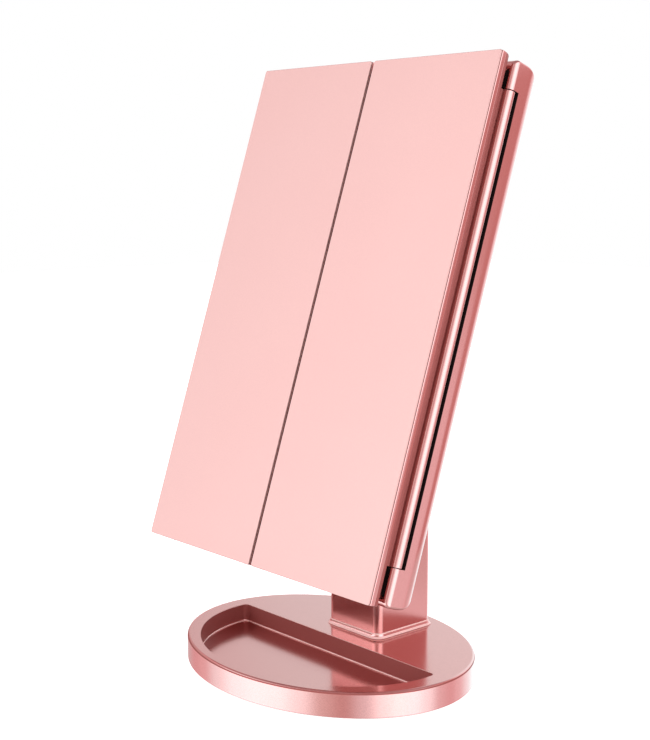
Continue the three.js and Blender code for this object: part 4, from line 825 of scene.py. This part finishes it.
# %% Screws
def cross_screw(name, shank, length, place, body):
    """A pan head screw: its head's top is at height 0, and the shank points down."""
    radius, height = 2 * shank, 1.2 * shank
    dome_turn = [turned(math.pi / 2 * i / 5) for i in range(6)]
    dome = [(radius - height * 0.5 * (1 - c), -height * 0.5 * (1 - s)) for c, s in dome_turn]
    profile = [(0.4 * shank, -length), (shank, -length + shank), (shank, -height), (radius, -height)]
    made = lathe(name + "_turned", profile + dome, 28)
    long, wide = radius * 0.55, shank * 0.22
    for x, y in ((long, wide), (wide, long)):
        cut = [(px, py, 0, 0) for px, py in ((x, y), (-x, y), (-x, -y), (x, -y))]
        carve(made, skin("cross", upright(cut, [(-0.7 * shank, 0), (1, 0)])))
    return dress(made, place, body, "steel", name)


def middle_of(node):
    """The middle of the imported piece's box, and its height, in millimetres."""
    low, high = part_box(node)
    return (Vector(low) + Vector(high)) / 2 / MM, (high[2] - low[2]) / MM


def level_screw(node, shank, up):
    """A screw of the stand, upright or head down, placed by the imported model's box."""
    middle, length = middle_of(node)
    turn = Matrix.Identity(4) if up else Matrix.Rotation(math.pi, 4, "X")
    rise = length / 2 if up else -length / 2
    top = Matrix.Translation((middle.x, middle.y, middle.z + rise))
    cross_screw(node, shank, length, STAND @ top @ turn, "stand")


for number in (1, 2, 3, 4):
    level_screw(f"stand_screw_{number}", 1.5, up=False)
for number in (1, 2):
    level_screw(f"post_screw_{number}", 1.8, up=False)
    level_screw(f"knuckle_screw_{number}", 1.5, up=True)

FACING_BACK = Matrix.Rotation(-math.pi / 2, 4, "X")
for number, x in enumerate(BRACKET_SCREWS, 1):
    place = HEAD @ Matrix.Translation((x, 37.1, AXLE_UP)) @ FACING_BACK
    cross_screw(f"bracket_screw_{number}", 1.5, 8.8, place, "head")
for number, (x, z) in enumerate(SINKS, 1):
    place = HEAD @ Matrix.Translation((x, 33.1, z)) @ FACING_BACK
    cross_screw(f"back_screw_{number}", 1.5, 12.2, place, "head")

# %% Rubber pads, domed a little, with a ring groove
for number in (1, 2, 3, 4):
    node = f"rubber_foot_{number}"
    middle, _ = middle_of(node)
    tread = [(5.4, 0.1), (5.7, 0.0), (5.95, 0.25), (6, 0.6), (6, 1.3)]
    ring = [(1.5, 0.25), (3.6, 0.12), (4.0, 0.35), (4.4, 0.35), (4.8, 0.1)]
    pad = lathe(f"pad_{number}", ring + tread)
    dress(pad, STAND @ Matrix.Translation((middle.x, middle.y, 0)), "stand", "pad_rubber", node)

# %% [markdown]
# ## Light
# The photograph is a studio packshot on white. A glossy metallic paint shows its surroundings more than its
# own colour, so the studio matters as much as the paint. It is drawn as a band of bright and dim panels
# right round the object, a dim ceiling above it and a pale floor below. The foot's rim faces every way in
# turn, so its bright and dark places told where the panels stand. The camera itself sees plain white.

# %% The studio's panels: azimuth from straight in front, towards the right, and the light's colour
PANELS = {
    -180: (1.32, 1.46, 1.51), -165: (1.32, 1.71, 1.75), -149: (1.20, 1.45, 1.48), -137: (1.02, 1.07, 1.07),
    -131: (0.94, 1.00, 1.00), -125: (0.86, 0.76, 0.76), -109: (0.76, 0.54, 0.54), -93: (0.93, 0.54, 0.55),
    -77: (1.09, 0.76, 0.77), -61: (1.35, 1.56, 1.60), -45: (2.15, 2.35, 2.42), -29: (2.50, 2.62, 2.68),
    -13: (2.42, 2.55, 2.60), 3: (1.65, 1.95, 1.98), 19: (1.04, 0.91, 0.88), 35: (0.84, 0.57, 0.55),
    51: (1.14, 1.15, 1.18), 67: (1.90, 2.15, 2.18), 83: (2.45, 2.60, 2.62), 99: (2.30, 2.52, 2.60),
    115: (1.60, 1.95, 2.02), 131: (1.16, 0.99, 1.02), 147: (1.09, 0.78, 0.81), 163: (1.20, 0.99, 1.02),
    180: (1.32, 1.46, 1.51),
}
PANEL_PEAK = 2.7  # brighter than any panel, since a ramp's colours end at 1


def panel_ring(nodes, links, parts):
    """A colour ramp that goes once round the horizon, by the azimuth of the direction in parts."""
    front = nodes.new("ShaderNodeMath")
    front.operation = "MULTIPLY"
    front.inputs[1].default_value = -1
    links.new(parts.outputs["Y"], front.inputs[0])
    azimuth = nodes.new("ShaderNodeMath")
    azimuth.operation = "ARCTAN2"
    links.new(parts.outputs["X"], azimuth.inputs[0])
    links.new(front.outputs["Value"], azimuth.inputs[1])
    turn = nodes.new("ShaderNodeMapRange")
    turn.inputs["From Min"].default_value = -math.pi
    turn.inputs["From Max"].default_value = math.pi
    links.new(azimuth.outputs["Value"], turn.inputs["Value"])
    ring = nodes.new("ShaderNodeValToRGB")
    ring.color_ramp.interpolation = "EASE"
    stops = ring.color_ramp.elements
    while len(stops) < len(PANELS):
        stops.new(0.5)
    for stop, (angle, light) in zip(stops, sorted(PANELS.items())):
        stop.position = (angle + 180) / 360
        stop.color = (*[part / PANEL_PEAK for part in light], 1)
    links.new(turn.outputs["Result"], ring.inputs["Fac"])
    return ring.outputs["Color"]


print("studio panels:", len(PANELS))

# %% The room: the panels blend into a dim ceiling and a pale floor, and the camera sees plain white
CEILING = ((0.56, 0.40, 0.40), 0.5, 0.85)  # its light, and the heights between which it blends in
FLOOR_GLOW = ((0.8, 0.72, 0.72), -0.3, -0.8)


def studio():
    """The world's light, as a reflection sees it."""
    world = bpy.data.worlds.new("studio")
    world.use_nodes = True
    bpy.context.scene.world = world
    nodes, links = world.node_tree.nodes, world.node_tree.links
    nodes.clear()
    place = nodes.new("ShaderNodeTexCoord")
    parts = nodes.new("ShaderNodeSeparateXYZ")
    links.new(place.outputs["Generated"], parts.inputs[0])
    blend = panel_ring(nodes, links, parts)
    for colour, near, far in (CEILING, FLOOR_GLOW):
        share = nodes.new("ShaderNodeMapRange")
        share.interpolation_type = "SMOOTHSTEP"
        share.inputs["From Min"].default_value = near
        share.inputs["From Max"].default_value = far
        links.new(parts.outputs["Z"], share.inputs["Value"])
        mix = nodes.new("ShaderNodeMixRGB")
        mix.inputs["Color2"].default_value = (*[part / PANEL_PEAK for part in colour], 1)
        links.new(share.outputs["Result"], mix.inputs["Fac"])
        links.new(blend, mix.inputs["Color1"])
        blend = mix.outputs["Color"]
    room = nodes.new("ShaderNodeBackground")
    room.inputs["Strength"].default_value = PANEL_PEAK
    links.new(blend, room.inputs["Color"])
    white = nodes.new("ShaderNodeBackground")
    white.inputs["Color"].default_value = (1, 1, 1, 1)
    seen = nodes.new("ShaderNodeLightPath")
    choose = nodes.new("ShaderNodeMixShader")
    out = nodes.new("ShaderNodeOutputWorld")
    links.new(seen.outputs["Is Camera Ray"], choose.inputs["Fac"])
    links.new(room.outputs["Background"], choose.inputs[1])
    links.new(white.outputs["Background"], choose.inputs[2])
    links.new(choose.outputs["Shader"], out.inputs["Surface"])


studio()

# %% [markdown]
# The post's front is much darker than the rim that faces the same way. A photographer gets that with dark
# flags. Here a pair of cards, one above the other, stands at the front left. Only the post and the tray
# mirror it, because the rim looks past its lower edge. The lower card is darker, as the post is darker near
# the tray. At the right back a tall card darkens the head's side, and a low, paler one under it tones the
# post's side.

# %% Flags, seen only in reflections
CARD_THICK = 1


def card(name, middle, across_way, half_width, low, high, colour):
    """A standing card of one even glow that the camera and the shading don't see."""
    at, way = Vector(middle), Vector(across_way).normalized()
    foot = [at - way * half_width, at + way * half_width]
    thick = Vector((way.y, -way.x)) * CARD_THICK / 2
    ring = [foot[0] - thick, foot[1] - thick, foot[1] + thick, foot[0] + thick]
    outline = [(point.x, point.y, 0, 0) for point in ring]
    made = skin(name, upright(outline, [(low, 0), (high, 0)]))
    made.data.transform(STAND)
    paint = bpy.data.materials.new(name)
    paint.use_nodes = True
    shader = paint.node_tree.nodes["Principled BSDF"]
    shader.inputs["Base Color"].default_value = (0, 0, 0, 1)
    shader.inputs["Specular IOR Level"].default_value = 0
    shader.inputs["Emission Color"].default_value = (*colour, 1)
    shader.inputs["Emission Strength"].default_value = 1
    made.data.materials.append(paint)
    made.visible_camera = made.visible_diffuse = made.visible_shadow = False
    return made


FRONT_WAY = (0.66, -0.75)
REAR_WAY = (0.899, -0.438)
card("front_flag_low", (-113, -79), FRONT_WAY, 85, 5, 32, (0.45, 0.22, 0.21))
card("front_flag_high", (-103, -91), FRONT_WAY, 69, 32, 58, (0.68, 0.52, 0.50))
# This one reaches below the floor, which reflections don't see either.
card("post_flag", (176, 194.4), REAR_WAY, 60, -30, 8, (0.95, 0.80, 0.80))
card("rear_flag", (190, 187.6), REAR_WAY, 44.5, 8, 340, (0.80, 0.42, 0.41))

# %% Floor: white paper, which the shading sees and reflections don't
FLOOR_HALF = 3  # metres
FLOOR_THICK = 0.02
floor_corners = [(FLOOR_HALF * x, FLOOR_HALF * y, 0, 0) for x, y in ((1, -1), (1, 1), (-1, 1), (-1, -1))]
floor = skin("floor", upright(floor_corners, [(-FLOOR_THICK, 0), (0, 0)]))
floor_paint = bpy.data.materials.new("floor_paper")
floor_paint.use_nodes = True
paper = floor_paint.node_tree.nodes["Principled BSDF"]
paper.inputs["Base Color"].default_value = (0.9, 0.9, 0.9, 1)
paper.inputs["Roughness"].default_value = 0.9
paper.inputs["Emission Color"].default_value = (1, 1, 1, 1)
paper.inputs["Emission Strength"].default_value = 0.75
floor.data.materials.append(floor_paint)
floor.visible_glossy = False
bpy.context.scene.view_settings.view_transform = "Standard"
